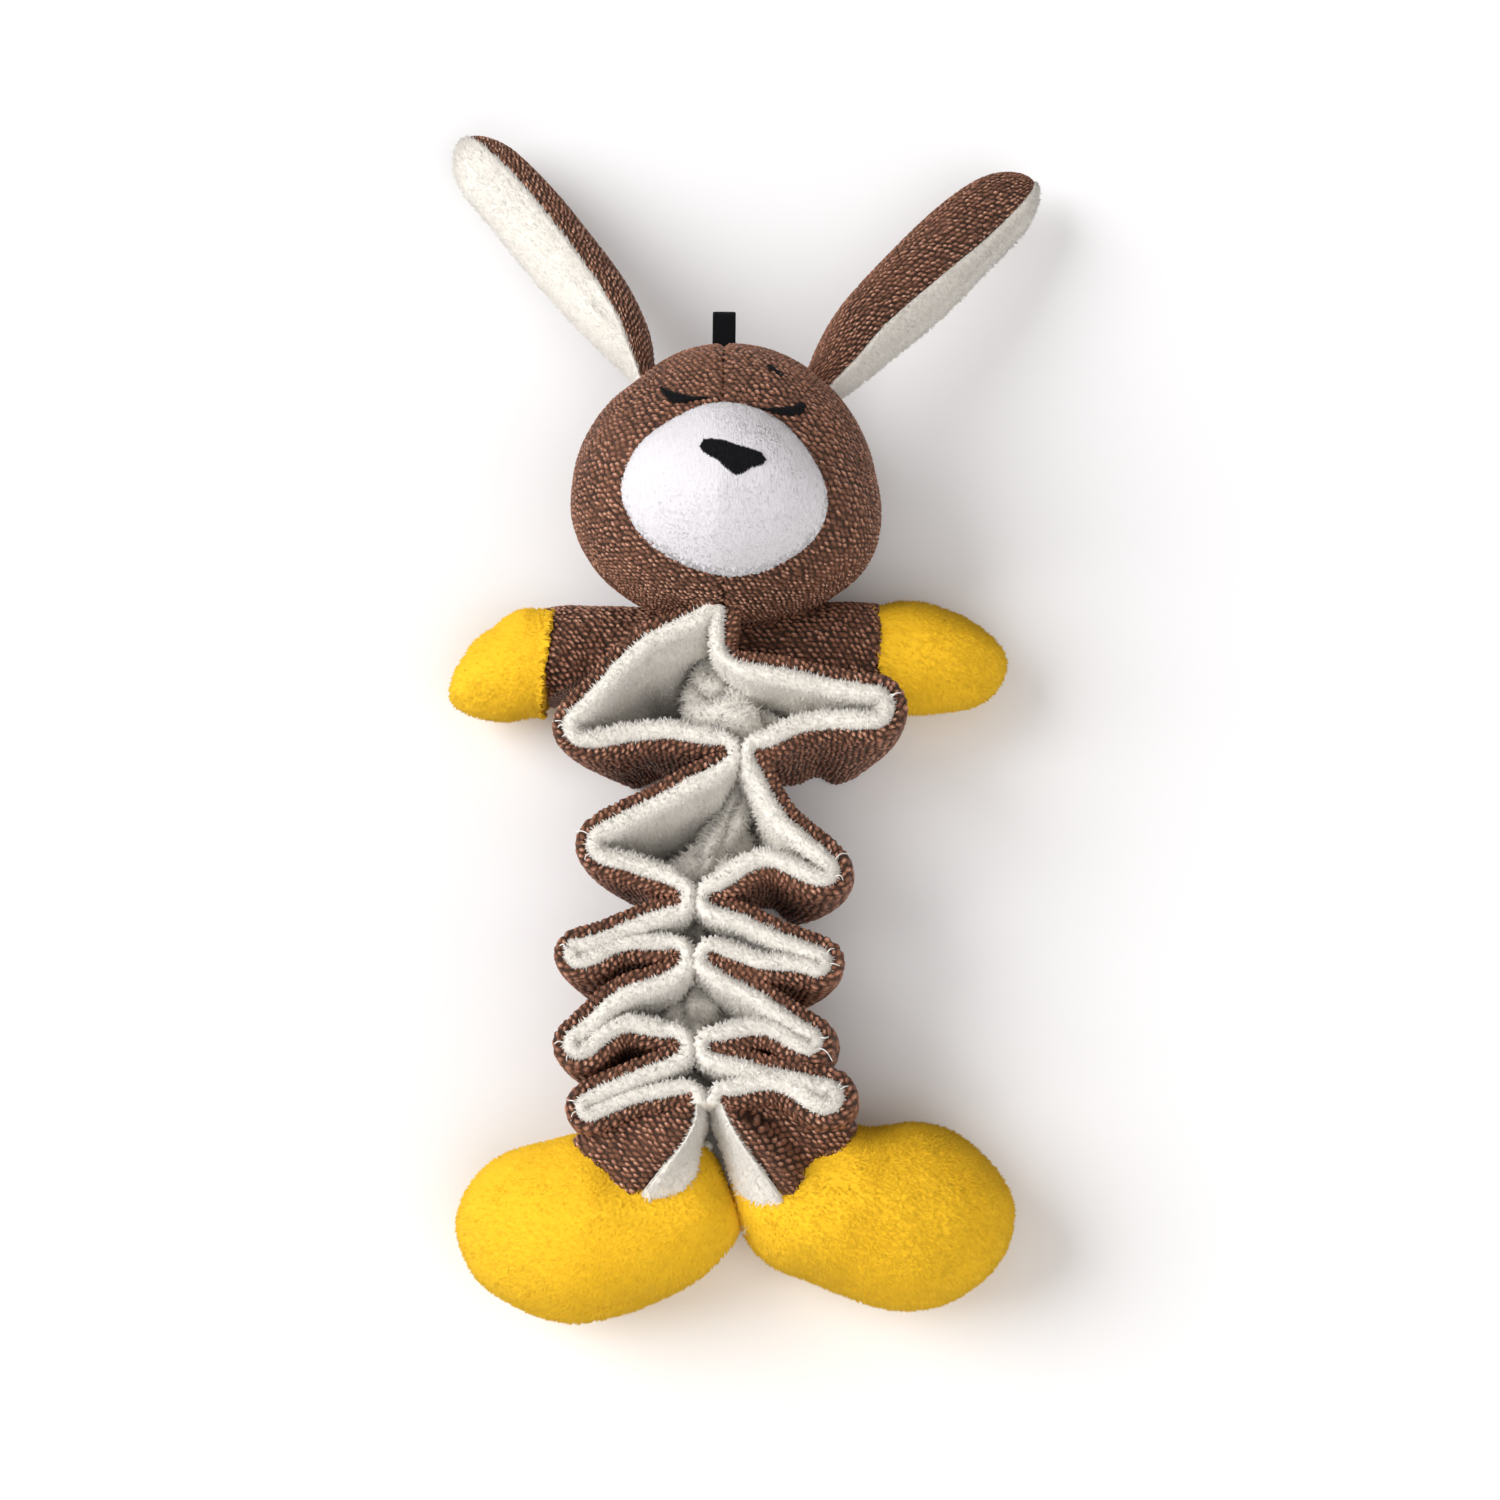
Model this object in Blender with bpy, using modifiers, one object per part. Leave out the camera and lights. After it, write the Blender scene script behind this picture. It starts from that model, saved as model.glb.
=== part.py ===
"""Plush rabbit toy with a concertina body, lying on its back and face up.

The toy lies along Y with its ears at +Y and its feet at -Y, on the plane Z = 0.
The body is two knit bands, left and right, lined with plush, that stand on edge and run in
and out from the head to the crotch. They are sewn together at five stations, round a plush
sleeve with an elastic in it, so the body stretches and the loops between make pockets.
Each band is laid out like a belt: it goes round a small circle at every station and round
a larger one at every outer fold.
"""
from math import asin, atan2, cos, inf, pi, radians, sin, sqrt

import bmesh
import bpy
from mathutils import Matrix, Vector

MM = 0.001
NAME = "plush_concertina_rabbit"

# Cloth and clearances
SEAM_GAP = 0.3 * MM
KNIT_THICKNESS = 2.8 * MM
PLUSH_THICKNESS = 3.8 * MM
CUT_OVERRUN = 5.0 * MM

# Body bands
BAND_WIDTH = 60.0 * MM
KNIT_INSET = 0.5 * MM
BODY_LENGTH = 178.0 * MM
NECK_RUN = 42.0 * MM
STATION_RADIUS = 3.4 * MM
FOLD_RADIUS = 8.0 * MM
PLEAT_REACH = 46.5 * MM
BOW = 5.0 * MM
CORD_SWAY = 10.5 * MM
section_height_shares = (0.301, 0.295, 0.118, 0.177, 0.109)
cord_sway_shares = (0.0, 1.0, -0.52, -0.55, -0.53, -0.12)
chin_drop_shares = {"left": 0.065, "right": 0.224}
# For each section from the head down: the fold's reach, its drop below the station above as a
# share of the section's height, its radius, and how far its upper and lower leaves bow
fold_shares = {
    "left": (
        (1.00, 0.813, 1.00, 0.9, 0.0),
        (0.78, 0.629, 0.94, 0.0, 0.0),
        (0.98, 0.929, 0.66, 0.0, 0.0),
        (0.97, 0.968, 0.73, 0.6, 0.0),
        (0.89, 1.080, 0.62, 0.0, 0.0),
    ),
    "right": (
        (1.22, 0.688, 1.06, 0.0, 0.0),
        (0.84, 0.806, 0.73, 0.0, 0.0),
        (0.79, 1.080, 0.66, 0.0, 0.7),
        (0.72, 0.930, 0.64, 0.0, 0.0),
        (0.85, 0.900, 0.72, 0.0, 0.0),
    ),
}

# Cord through the middle
ELASTIC_RADIUS = 1.0 * MM
SLEEVE_WALL = 0.6 * MM
SLEEVE_NECK_RUN = 5.0 * MM
SLEEVE_FLARE = 8.0 * MM
SLEEVE_GIRTH = 12.0 * MM
SLEEVE_STEP = 4.5 * MM
KNOT_RADIUS = 2.4 * MM
KNOT_DROP = 11.0 * MM
KNOT_END_SHARE = 0.75
sleeve_girth_shares = (1.0, 0.75, 0.28, 0.6, 0.26)
SLEEVE_LUMP_SHARE = 0.14

# Head
HEAD_HALF_WIDTH = 55.5 * MM
HEAD_HALF_HEIGHT = 51.0 * MM
HEAD_HALF_DEPTH = 47.0 * MM
HEAD_OFFSET = 4.3 * MM
HEAD_LEAN = radians(-5.0)
REST_CUT = 0.5 * MM
SHELL_THICKNESS = 2.0 * MM
CHEEK_SHARE = 0.14
BACK_SEAM_SHARE = -0.12
MUZZLE_HALF_WIDTH = 36.0 * MM
MUZZLE_HALF_HEIGHT = 32.0 * MM
MUZZLE_HALF_DEPTH = 27.0 * MM
muzzle_centre_shares = (0.0, -0.34, 0.66)
EMBROIDERY_THICKNESS = 1.2 * MM
NOSE_WIDTH = 23.5 * MM
NOSE_HEIGHT = 14.0 * MM
nose_outline_shares = (
    (-0.50, 0.30), (-0.38, 0.46), (-0.15, 0.50), (0.15, 0.50), (0.38, 0.46), (0.50, 0.30),
    (0.50, 0.12), (0.30, -0.12), (0.14, -0.42), (0.0, -0.50), (-0.14, -0.42), (-0.30, -0.12),
    (-0.50, 0.12),
)
nose_place_shares = (0.04, -0.15)
EYE_WIDTH = 18.0 * MM
EYE_HEIGHT = 6.5 * MM
EYE_SLANT = radians(-16.0)
eye_outline_shares = (
    (-0.50, 0.34), (-0.42, 0.50), (-0.20, 0.10), (0.10, 0.02), (0.50, 0.12),
    (0.48, 0.0), (0.15, -0.30), (-0.15, -0.50), (-0.34, -0.36), (-0.44, 0.0),
)
eye_place_shares = {"left": (-0.30, 0.36), "right": (0.38, 0.34)}
BROW_LENGTH = 10.5 * MM
BROW_HEIGHT = 3.4 * MM
BROW_SLANT = radians(-28.0)
brow_outline_shares = (
    (-0.50, 0.50), (0.20, 0.40), (0.50, 0.10), (0.45, -0.25), (0.10, -0.05), (-0.10, -0.5),
    (-0.50, -0.30),
)
brow_place_shares = (0.32, 0.66)
LOOP_WIDTH = 9.0 * MM
LOOP_THICKNESS = 1.0 * MM
LOOP_GAP = 6.4 * MM
LOOP_HEIGHT = 15.0 * MM
LOOP_OFFSET = 4.4 * MM
LOOP_ARC_STEPS = 8
SQUEAKER_RADIUS = 15.0 * MM
SQUEAKER_DEPTH = 14.0 * MM
BELLOWS_END_SHARE = 0.80
BELLOWS_WAIST_SHARE = 0.86
bellows_place_shares = (0.0, 0.08, 0.22, 0.36, 0.5, 0.64, 0.78, 0.92, 1.0)
REED_RADIUS = 4.0 * MM
REED_LENGTH = 9.0 * MM

# Ears
EAR_LENGTH = 118.0 * MM
EAR_HALF_THICKNESS = 10.5 * MM
EAR_HALF_HEIGHT = 15.5 * MM
EAR_ROLL = radians(8.0)
# Spine from the head to the tip: outwards from the head's middle, along Y and up, as shares
# of the ear's length
ear_spine_shares = {
    "left": (
        (0.200, 0.290, 0.395), (0.250, 0.430, 0.39), (0.350, 0.620, 0.34), (0.510, 0.835, 0.27),
        (0.680, 1.005, 0.20), (0.825, 1.155, 0.15),
    ),
    "right": (
        (0.250, 0.270, 0.395), (0.320, 0.410, 0.39), (0.440, 0.560, 0.34), (0.615, 0.740, 0.27),
        (0.790, 0.905, 0.20), (0.945, 1.030, 0.15),
    ),
}
ear_girth_shares = (0.62, 0.86, 1.0, 1.0, 0.82, 0.42)

# Arms
ARM_REACH = 96.0 * MM
ARM_HALF_HEIGHT = 20.5 * MM
ARM_HALF_DEPTH = 16.5 * MM
ARM_LIFT = 20.0 * MM
CUFF_REACH = 61.0 * MM
HAND_PROUD = 1.0 * MM
# Spine from the neck to the finger tips: outwards and along Y from the chin, as shares
# of the arm's reach
arm_spine_shares = {
    "left": ((0.27, 0.010), (0.45, -0.045), (0.65, -0.105), (0.83, -0.165), (1.0, -0.225)),
    "right": ((0.28, 0.010), (0.48, -0.045), (0.70, -0.085), (0.90, -0.105), (1.10, -0.115)),
}
arm_girth_shares = (0.42, 0.76, 1.0, 0.98, 0.70)

# Legs and feet
LEG_LENGTH = 27.0 * MM
ANKLE_HALF_WIDTH = 20.0 * MM
ANKLE_HALF_HEIGHT = 20.0 * MM
LEG_LIFT_OFF = 1.0 * MM
FOOT_LENGTH = 97.0 * MM
FOOT_HALF_HEIGHT = 32.5 * MM
FOOT_HALF_DEPTH = 27.5 * MM
FOOT_DROP = 42.5 * MM
FEET_MIDDLE = 8.8 * MM
SOLE_SHARE = 0.52
foot_turn = {"left": radians(4.0), "right": radians(-4.0)}
foot_rise_shares = {"left": 0.0, "right": 0.12}
foot_girth_shares = (0.90, 0.97, 1.0, 1.0, 0.97, 0.90, 0.78)

# Facets
ARC_STEP = radians(20.0)
RUN_STEPS = 4
HEAD_CUTS = 7
MUZZLE_CUTS = 5
LIMB_SIDES = 14
LIMB_RINGS = 9
SLEEVE_SIDES = 10
KNOT_RINGS = 6

SIDES = {"left": -1.0, "right": 1.0}
SECTIONS = len(section_height_shares)
BAND_MIDDLE = BAND_WIDTH / 2
SLEEVE_NECK_RADIUS = ELASTIC_RADIUS + SEAM_GAP + SLEEVE_WALL
STATION_TIP = SLEEVE_NECK_RADIUS + SEAM_GAP + PLUSH_THICKNESS + SEAM_GAP / 2
HEAD_CENTRE = Vector((HEAD_OFFSET, HEAD_HALF_HEIGHT, HEAD_HALF_DEPTH - REST_CUT))
MUZZLE_CENTRE = Vector((
    muzzle_centre_shares[0] * HEAD_HALF_WIDTH,
    muzzle_centre_shares[1] * HEAD_HALF_HEIGHT,
    muzzle_centre_shares[2] * HEAD_HALF_DEPTH,
))

COLOURS = {
    "knit": ((0.14, 0.065, 0.045), 0.9),
    "plush": ((0.80, 0.76, 0.66), 0.95),
    "white_plush": ((0.84, 0.83, 0.84), 0.95),
    "yellow_plush": ((0.92, 0.55, 0.01), 0.9),
    "black_thread": ((0.010, 0.010, 0.012), 0.7),
    "webbing": ((0.012, 0.012, 0.013), 0.8),
    "filling": ((0.85, 0.85, 0.84), 1.0),
    "vinyl": ((0.70, 0.72, 0.70), 0.4),
    "elastic": ((0.75, 0.74, 0.70), 0.8),
}


# Scene helpers

def clear_scene():
    for item in list(bpy.data.objects):
        bpy.data.objects.remove(item)


def make_collection(name):
    collection = bpy.data.collections.new(name)
    bpy.context.scene.collection.children.link(collection)
    return collection


def make_material(name, finish):
    material = bpy.data.materials.new(name)
    material.use_nodes = True
    shader = material.node_tree.nodes["Principled BSDF"]
    colour, roughness = COLOURS[finish]
    shader.inputs["Base Color"].default_value = (*colour, 1.0)
    shader.inputs["Roughness"].default_value = roughness
    shader.inputs["Metallic"].default_value = 0.0
    material.diffuse_color = (*colour, 1.0)
    return material


def empty(name, location, parent=None):
    item = bpy.data.objects.new(name, None)
    PARTS.objects.link(item)
    item.location = location
    item.parent = parent
    if parent is not None:
        item.location = Vector(location) - parent.matrix_world.translation
    bpy.context.view_layer.update()
    return item


def face_outwards(bm):
    bmesh.ops.recalc_face_normals(bm, faces=bm.faces)
    if bm.calc_volume(signed=True) < 0:
        bmesh.ops.reverse_faces(bm, faces=bm.faces)
    bm.normal_update()


def object_from(name, bm, collection):
    face_outwards(bm)
    mesh = bpy.data.meshes.new(name)
    bm.to_mesh(mesh)
    bm.free()
    item = bpy.data.objects.new(name, mesh)
    collection.objects.link(item)
    return item


def part(name, bm, finish, carrier, smooth=True):
    """A named piece of the toy. Its mesh is laid out in world space and hung on its carrier."""
    item = object_from(name, bm, PARTS)
    item.data.materials.append(make_material(name, finish))
    item.data.transform(carrier.matrix_world.inverted())
    item.parent = carrier
    if smooth:
        item.data.shade_smooth()
        item.data.set_sharp_from_angle(angle=radians(50.0))
    return item


def cutter(name, bm):
    item = object_from(name, bm, CUTTERS)
    item.hide_render = True
    item.display_type = "WIRE"
    item.parent = TOY
    return item


def boolean(item, tool, operation="DIFFERENCE"):
    modifier = item.modifiers.new(tool.name, "BOOLEAN")
    modifier.operation = operation
    modifier.solver = "EXACT"
    modifier.object = tool


def shell(item, thickness):
    modifier = item.modifiers.new("wall", "SOLIDIFY")
    modifier.thickness = thickness
    modifier.offset = -1.0
    modifier.use_even_offset = True


# Shapes

def smooth_step(t):
    t = min(max(t, 0.0), 1.0)
    return t * t * (3 - 2 * t)


def along(table, s):
    """Smooth curve through evenly spaced numbers or vectors, at s from 0 to 1."""
    place = min(max(s, 0.0), 1.0) * (len(table) - 1)
    i = min(int(place), len(table) - 2)
    t = place - i
    b, c = table[i], table[i + 1]
    a = table[i - 1] if i > 0 else b + (b - c)
    d = table[i + 2] if i + 2 < len(table) else c + (c - b)
    return (b * 2 + (c - a) * t + (a * 2 - b * 5 + c * 4 - d) * t ** 2
            + (b * 3 - a - c * 3 + d) * t ** 3) * 0.5


def ball(cuts):
    """Unit ball of even quads."""
    bm = bmesh.new()
    bmesh.ops.create_cube(bm, size=2)
    bmesh.ops.subdivide_edges(bm, edges=bm.edges, cuts=cuts, use_grid_fill=True)
    for vertex in bm.verts:
        vertex.co.normalize()
    return bm


def grow(bm, distance):
    face_outwards(bm)
    for vertex in bm.verts:
        vertex.co += vertex.normal * distance
    return bm


def tube_grid(sides, rings):
    """Unit cylinder from Z = 0 to 1 with rings of edges, closer together towards its ends."""
    bm = bmesh.new()
    bmesh.ops.create_cone(
        bm, cap_ends=True, segments=sides, radius1=1, radius2=1, depth=1,
        matrix=Matrix.Translation((0, 0, 0.5)) @ Matrix.Rotation(pi / sides, 4, "Z"),
    )
    for ring in range(1, rings):
        height = (1 - cos(pi * ring / rings)) / 2
        geometry = list(bm.verts) + list(bm.edges) + list(bm.faces)
        bmesh.ops.bisect_plane(bm, geom=geometry, plane_co=(0, 0, height), plane_no=(0, 0, 1))
    return bm


def frame_at(spine, s, roll=0.0):
    """Point on a spine with the directions across it, level with the floor, and up from it."""
    near = 0.01
    point = along(spine, s)
    tangent = along(spine, min(s + near, 1.0)) - along(spine, max(s - near, 0.0))
    tangent.normalize()
    across = tangent.cross(Vector((0, 0, 1))).normalized()
    up = across.cross(tangent)
    turn = Matrix.Rotation(roll, 3, tangent)
    return point, turn @ across, turn @ up


def superellipse(angle, power):
    def raised(value):
        return abs(value) ** (2 / power) * (1 if value > 0 else -1)
    return raised(cos(angle)), raised(sin(angle))


def limb(spine, half_across, half_up, side=0, power=None, roll=0.0):
    """Stuffed limb round a spine. With a side of 1 or -1 it is only that half, flat inside."""
    bm = tube_grid(LIMB_SIDES, LIMB_RINGS)
    for vertex in bm.verts:
        s = vertex.co.z
        angle = atan2(vertex.co.y, vertex.co.x)
        a, b = superellipse(angle, power(s) if power else 2.0)
        point, across, up = frame_at(spine, s, roll)
        if side:
            out = side * (max(a * side, 0.0) * half_across(s) + SEAM_GAP / 2)
        else:
            out = a * half_across(s)
        vertex.co = point + across * out + up * b * half_up(s)
    return bm


def rounded(s, reach=0.16, least=0.30):
    """Share of full girth near the blunt end at s = 1."""
    if s < 1 - reach:
        return 1.0
    t = (s - 1 + reach) / reach
    return least + (1 - least) * sqrt(1 - t * t)


def prism(outline, low, high):
    """Closed flat outline in X and Y, extruded from low to high."""
    bm = bmesh.new()
    ring = [bm.verts.new((x, y, low)) for x, y in outline]
    face = bm.faces.new(ring)
    raised = bmesh.ops.extrude_face_region(bm, geom=[face])
    top = [item for item in raised["geom"] if isinstance(item, bmesh.types.BMVert)]
    bmesh.ops.translate(bm, verts=top, vec=(0, 0, high - low))
    return bm


def cut_flat(bm, point, normal):
    """Cut away what lies on the normal's side of a plane, and close the cut."""
    geometry = list(bm.verts) + list(bm.edges) + list(bm.faces)
    cut = bmesh.ops.bisect_plane(
        bm, geom=geometry, plane_co=point, plane_no=normal, clear_outer=True,
    )
    rim = [item for item in cut["geom_cut"] if isinstance(item, bmesh.types.BMEdge)]
    bmesh.ops.edgeloop_fill(bm, edges=rim)
    return bm


# Band layout, worked out with X as the distance outwards from the toy's middle

def station_y(index):
    return -BODY_LENGTH * sum(section_height_shares[:index])


def cord_x(index):
    return CORD_SWAY * cord_sway_shares[index]


def cord_y(index):
    """Height of a station on the cord, which comes free of the chin below its lower fold."""
    if index == 0:
        return max(chin_drop_shares.values()) * station_y(1)
    return station_y(index)


def cord_place(index, s):
    """Point on the cord between two stations. It runs straight through each station."""
    start, end = cord_y(index), cord_y(index + 1)
    y = start + (end - start) * s
    straight = SLEEVE_NECK_RUN / (start - end)
    sway = smooth_step((s - straight) / (1 - 2 * straight))
    x = cord_x(index) + (cord_x(index + 1) - cord_x(index)) * sway
    return Vector((x, y, BAND_MIDDLE))


def sleeve_rings(index):
    return max(5, round((cord_y(index) - cord_y(index + 1)) / SLEEVE_STEP))


def station_circle(side, index):
    """Centre of the circle that the band goes round at a station, or at the chin for 0."""
    out = SIDES[side] * cord_x(index) + STATION_TIP + STATION_RADIUS
    y = station_y(index)
    if index == 0:
        y = chin_drop_shares[side] * station_y(1)
    return Vector((out, y))


def fold_circle(side, index):
    reach, drop, size, _, _ = fold_shares[side][index]
    height = station_y(index) - station_y(index + 1)
    return Vector((reach * PLEAT_REACH, station_y(index) - drop * height)), size * FOLD_RADIUS


def run_heading(start, start_radius, end, end_radius, turn):
    line = end - start
    return atan2(line.y, line.x) + turn * asin((start_radius + end_radius) / line.length)


def normal_of(heading):
    return Vector((-sin(heading), cos(heading)))


def bend(centre, radius, turn, start, end):
    """Points and knit-side normals round a circle while the heading goes from start to end."""
    steps = max(2, round(abs(end - start) / ARC_STEP))
    found = []
    for step in range(steps + 1):
        normal = normal_of(start + (end - start) * step / steps)
        found.append((centre - normal * turn * radius, normal))
    return found


def run(start, end, bow):
    """Points and normals along a leaf that bows to its knit side, its ends left out."""
    line = end - start
    direction = line.normalized()
    normal = Vector((-direction.y, direction.x))
    found = []
    for step in range(1, RUN_STEPS):
        t = step / RUN_STEPS
        slope = bow * pi * sin(2 * pi * t) / line.length
        point = start + line * t + normal * bow * (1 - cos(2 * pi * t)) / 2
        found.append((point, (normal - direction * slope).normalized()))
    return found


def band_path(side, index):
    """Seam line between knit and plush through one section, as points with normals."""
    down = -pi / 2
    upper = station_circle(side, index)
    lower = station_circle(side, index + 1)
    fold, fold_radius = fold_circle(side, index)
    bow_out, bow_back = fold_shares[side][index][3:]
    out = run_heading(upper, STATION_RADIUS, fold, fold_radius, 1)
    back = run_heading(fold, fold_radius, lower, STATION_RADIUS, -1)
    if back > 0:
        back -= 2 * pi
    arrive = bend(upper, STATION_RADIUS, 1, down, out)
    turn = bend(fold, fold_radius, -1, out, back)
    leave = bend(lower, STATION_RADIUS, 1, back, down)
    path = []
    if index == 0:
        point, normal = arrive[0]
        path.append((point + Vector((0, NECK_RUN)), normal))
    path += arrive
    if bow_out:
        path += run(arrive[-1][0], turn[0][0], bow_out * BOW)
    path += turn
    if bow_back:
        path += run(turn[-1][0], leave[0][0], bow_back * BOW)
    path += leave
    return path


def layer_outline(side, index, near, far):
    """Outline of a layer between two distances to the knit side of the seam line."""
    path = band_path(side, index)
    trim = Vector((0, SEAM_GAP / 2))
    inner = [point + normal * near for point, normal in path]
    outer = [point + normal * far for point, normal in path]
    for row in (inner, outer):
        row[-1] = row[-1] + trim
        if index:
            row[0] = row[0] - trim
    points = inner + outer[::-1]
    return [(SIDES[side] * point.x, point.y) for point in points]


# The pieces

def build_pleats():
    knit = (SEAM_GAP / 2, SEAM_GAP / 2 + KNIT_THICKNESS)
    plush = (-SEAM_GAP / 2 - PLUSH_THICKNESS, -SEAM_GAP / 2)
    for index in range(SECTIONS):
        for side in SIDES:
            stem = f"{side}_pleat_{index + 1}"
            outer = prism(layer_outline(side, index, *knit), KNIT_INSET, BAND_WIDTH - KNIT_INSET)
            inner = prism(layer_outline(side, index, *plush), 0.0, BAND_WIDTH)
            pieces = (
                part(f"{stem}_knit", outer, "knit", SECTION_EMPTIES[index]),
                part(f"{stem}_plush", inner, "plush", SECTION_EMPTIES[index]),
            )
            if index == 0:
                for piece in pieces:
                    boolean(piece, CUTS["head"])


def sleeve_profile(index):
    """Distance below the station and radius of one stretch of the gathered plush sleeve."""
    length = cord_y(index) - cord_y(index + 1)
    girth = SLEEVE_GIRTH * sleeve_girth_shares[index]
    rings = sleeve_rings(index)
    found = []
    for ring in range(rings + 1):
        place = length * ring / rings
        from_end = min(place, length - place)
        swell = smooth_step((from_end - SLEEVE_NECK_RUN) / SLEEVE_FLARE)
        lump = 1 - SLEEVE_LUMP_SHARE * (ring % 2)
        radius = SLEEVE_NECK_RADIUS + (girth - SLEEVE_NECK_RADIUS) * swell * lump
        place = min(max(place, SEAM_GAP / 2), length - SEAM_GAP / 2)
        found.append((place, radius))
    return found


def turned(profile, bore, start, direction):
    """Hollow turned form about a line, from its outer profile and the radius of its bore."""
    bm = bmesh.new()
    points = [(radius, place) for place, radius in profile]
    points += [(bore, place) for place, _ in reversed(profile)]
    ring = [bm.verts.new((radius, 0, place)) for radius, place in points]
    edges = [bm.edges.new((a, b)) for a, b in zip(ring, ring[1:] + ring[:1])]
    bmesh.ops.spin(
        bm, geom=ring + edges, cent=(0, 0, 0), axis=(0, 0, 1), angle=2 * pi,
        steps=SLEEVE_SIDES, use_merge=True,
    )
    aim = direction.to_track_quat("Z", "X").to_matrix().to_4x4()
    bmesh.ops.transform(bm, matrix=Matrix.Translation(start) @ aim, verts=bm.verts)
    return bm


def build_cord():
    bore = ELASTIC_RADIUS + SEAM_GAP
    down = Vector((0, -1, 0))
    for index in range(SECTIONS):
        start = cord_place(index, 0)
        form = turned(sleeve_profile(index), bore, start, down)
        length = cord_y(index) - cord_y(index + 1)
        for vertex in form.verts:
            vertex.co.x += cord_place(index, (start.y - vertex.co.y) / length).x - start.x
        part(f"cord_sleeve_{index + 1}", form, "plush", SECTION_EMPTIES[index])
    start = Vector((cord_x(SECTIONS), cord_y(SECTIONS), BAND_MIDDLE))
    angles = [pi * step / KNOT_RINGS for step in range(KNOT_RINGS + 1)]
    knot_profile = [
        (-KNOT_RADIUS * cos(angle), KNOT_RADIUS * max(sin(angle), KNOT_END_SHARE))
        for angle in angles
    ]
    knot = turned(knot_profile, bore, start + down * KNOT_DROP, down)
    part("elastic_knot", knot, "elastic", SECTION_EMPTIES[SECTIONS])
    curve = bpy.data.curves.new("elastic_core", "CURVE")
    curve.dimensions = "3D"
    curve.bevel_depth = ELASTIC_RADIUS
    curve.bevel_resolution = 1
    curve.use_fill_caps = True
    spline = curve.splines.new("POLY")
    route = [cord_place(0, 0) - down * NECK_RUN / 2]
    for index in range(SECTIONS):
        rings = sleeve_rings(index)
        route += [cord_place(index, ring / rings) for ring in range(rings)]
    route += [start, start + down * (KNOT_DROP + KNOT_RADIUS / 2)]
    spline.points.add(len(route) - 1)
    for point, place in zip(spline.points, route):
        point.co = (*place, 1.0)
    wire = bpy.data.objects.new("elastic_core_guide", curve)
    CUTTERS.objects.link(wire)
    bpy.context.view_layer.update()
    evaluated = wire.evaluated_get(bpy.context.evaluated_depsgraph_get())
    mesh = bpy.data.meshes.new_from_object(evaluated)
    bm = bmesh.new()
    bm.from_mesh(mesh)
    bmesh.ops.remove_doubles(bm, verts=bm.verts, dist=SEAM_GAP / 10)
    bpy.data.objects.remove(wire)
    piece = part("elastic_core", bm, "elastic", SECTION_EMPTIES[0])
    boolean(piece, CUTS["head"])


def head_form():
    bm = ball(HEAD_CUTS)
    for vertex in bm.verts:
        x, y, z = vertex.co
        vertex.co = (
            x * HEAD_HALF_WIDTH * (1 - CHEEK_SHARE * y), y * HEAD_HALF_HEIGHT, z * HEAD_HALF_DEPTH,
        )
    return bm


def muzzle_form():
    bm = ball(MUZZLE_CUTS)
    size = (MUZZLE_HALF_WIDTH, MUZZLE_HALF_HEIGHT, MUZZLE_HALF_DEPTH)
    bmesh.ops.scale(bm, vec=size, verts=bm.verts)
    bmesh.ops.translate(bm, vec=MUZZLE_CENTRE, verts=bm.verts)
    return bm


def in_head(bm):
    """Move a shape from the head's own frame to the toy's."""
    bmesh.ops.transform(bm, matrix=HEAD_MATRIX, verts=bm.verts)
    return bm


def build_head_cutters():
    span = 3 * HEAD_HALF_WIDTH
    CUTS["head"] = cutter("head_clearance", in_head(grow(head_form(), SEAM_GAP)))
    CUTS["muzzle"] = cutter("muzzle_clearance", in_head(grow(muzzle_form(), SEAM_GAP)))
    inner = grow(head_form(), -SHELL_THICKNESS)
    CUTS["stuffing"] = cutter("stuffing_clearance", in_head(inner))
    fill = grow(muzzle_form(), -SHELL_THICKNESS - SEAM_GAP)
    CUTS["muzzle_fill"] = cutter("muzzle_filling", in_head(fill))
    floor = bmesh.new()
    bmesh.ops.create_cube(floor, size=1)
    bmesh.ops.scale(floor, vec=(span, 4 * span, CUT_OVERRUN), verts=floor.verts)
    bmesh.ops.translate(floor, vec=(0, 0, -CUT_OVERRUN / 2), verts=floor.verts)
    CUTS["floor"] = cutter("floor_cut", floor)
    well = bmesh.new()
    depth = HEAD_HALF_DEPTH + MUZZLE_HALF_DEPTH
    bmesh.ops.create_cone(
        well, cap_ends=True, segments=2 * LIMB_SIDES, depth=depth,
        radius1=SQUEAKER_RADIUS + SEAM_GAP, radius2=SQUEAKER_RADIUS + SEAM_GAP,
    )
    centre = MUZZLE_CENTRE + Vector((0, 0, depth / 2))
    bmesh.ops.translate(well, vec=centre, verts=well.verts)
    CUTS["well"] = cutter("squeaker_well", in_head(well))


def head_panel(name, low, high):
    """Piece of the head's cloth between two corners of a box in the head's own frame."""
    piece = part(name, in_head(head_form()), "knit", HEAD_EMPTY)
    shell(piece, SHELL_THICKNESS)
    region = bmesh.new()
    bmesh.ops.create_cube(region, size=1)
    bmesh.ops.scale(region, vec=high - low, verts=region.verts)
    bmesh.ops.translate(region, vec=(high + low) / 2, verts=region.verts)
    boolean(piece, cutter(f"{name}_region", in_head(region)), "INTERSECT")
    return piece


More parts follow.
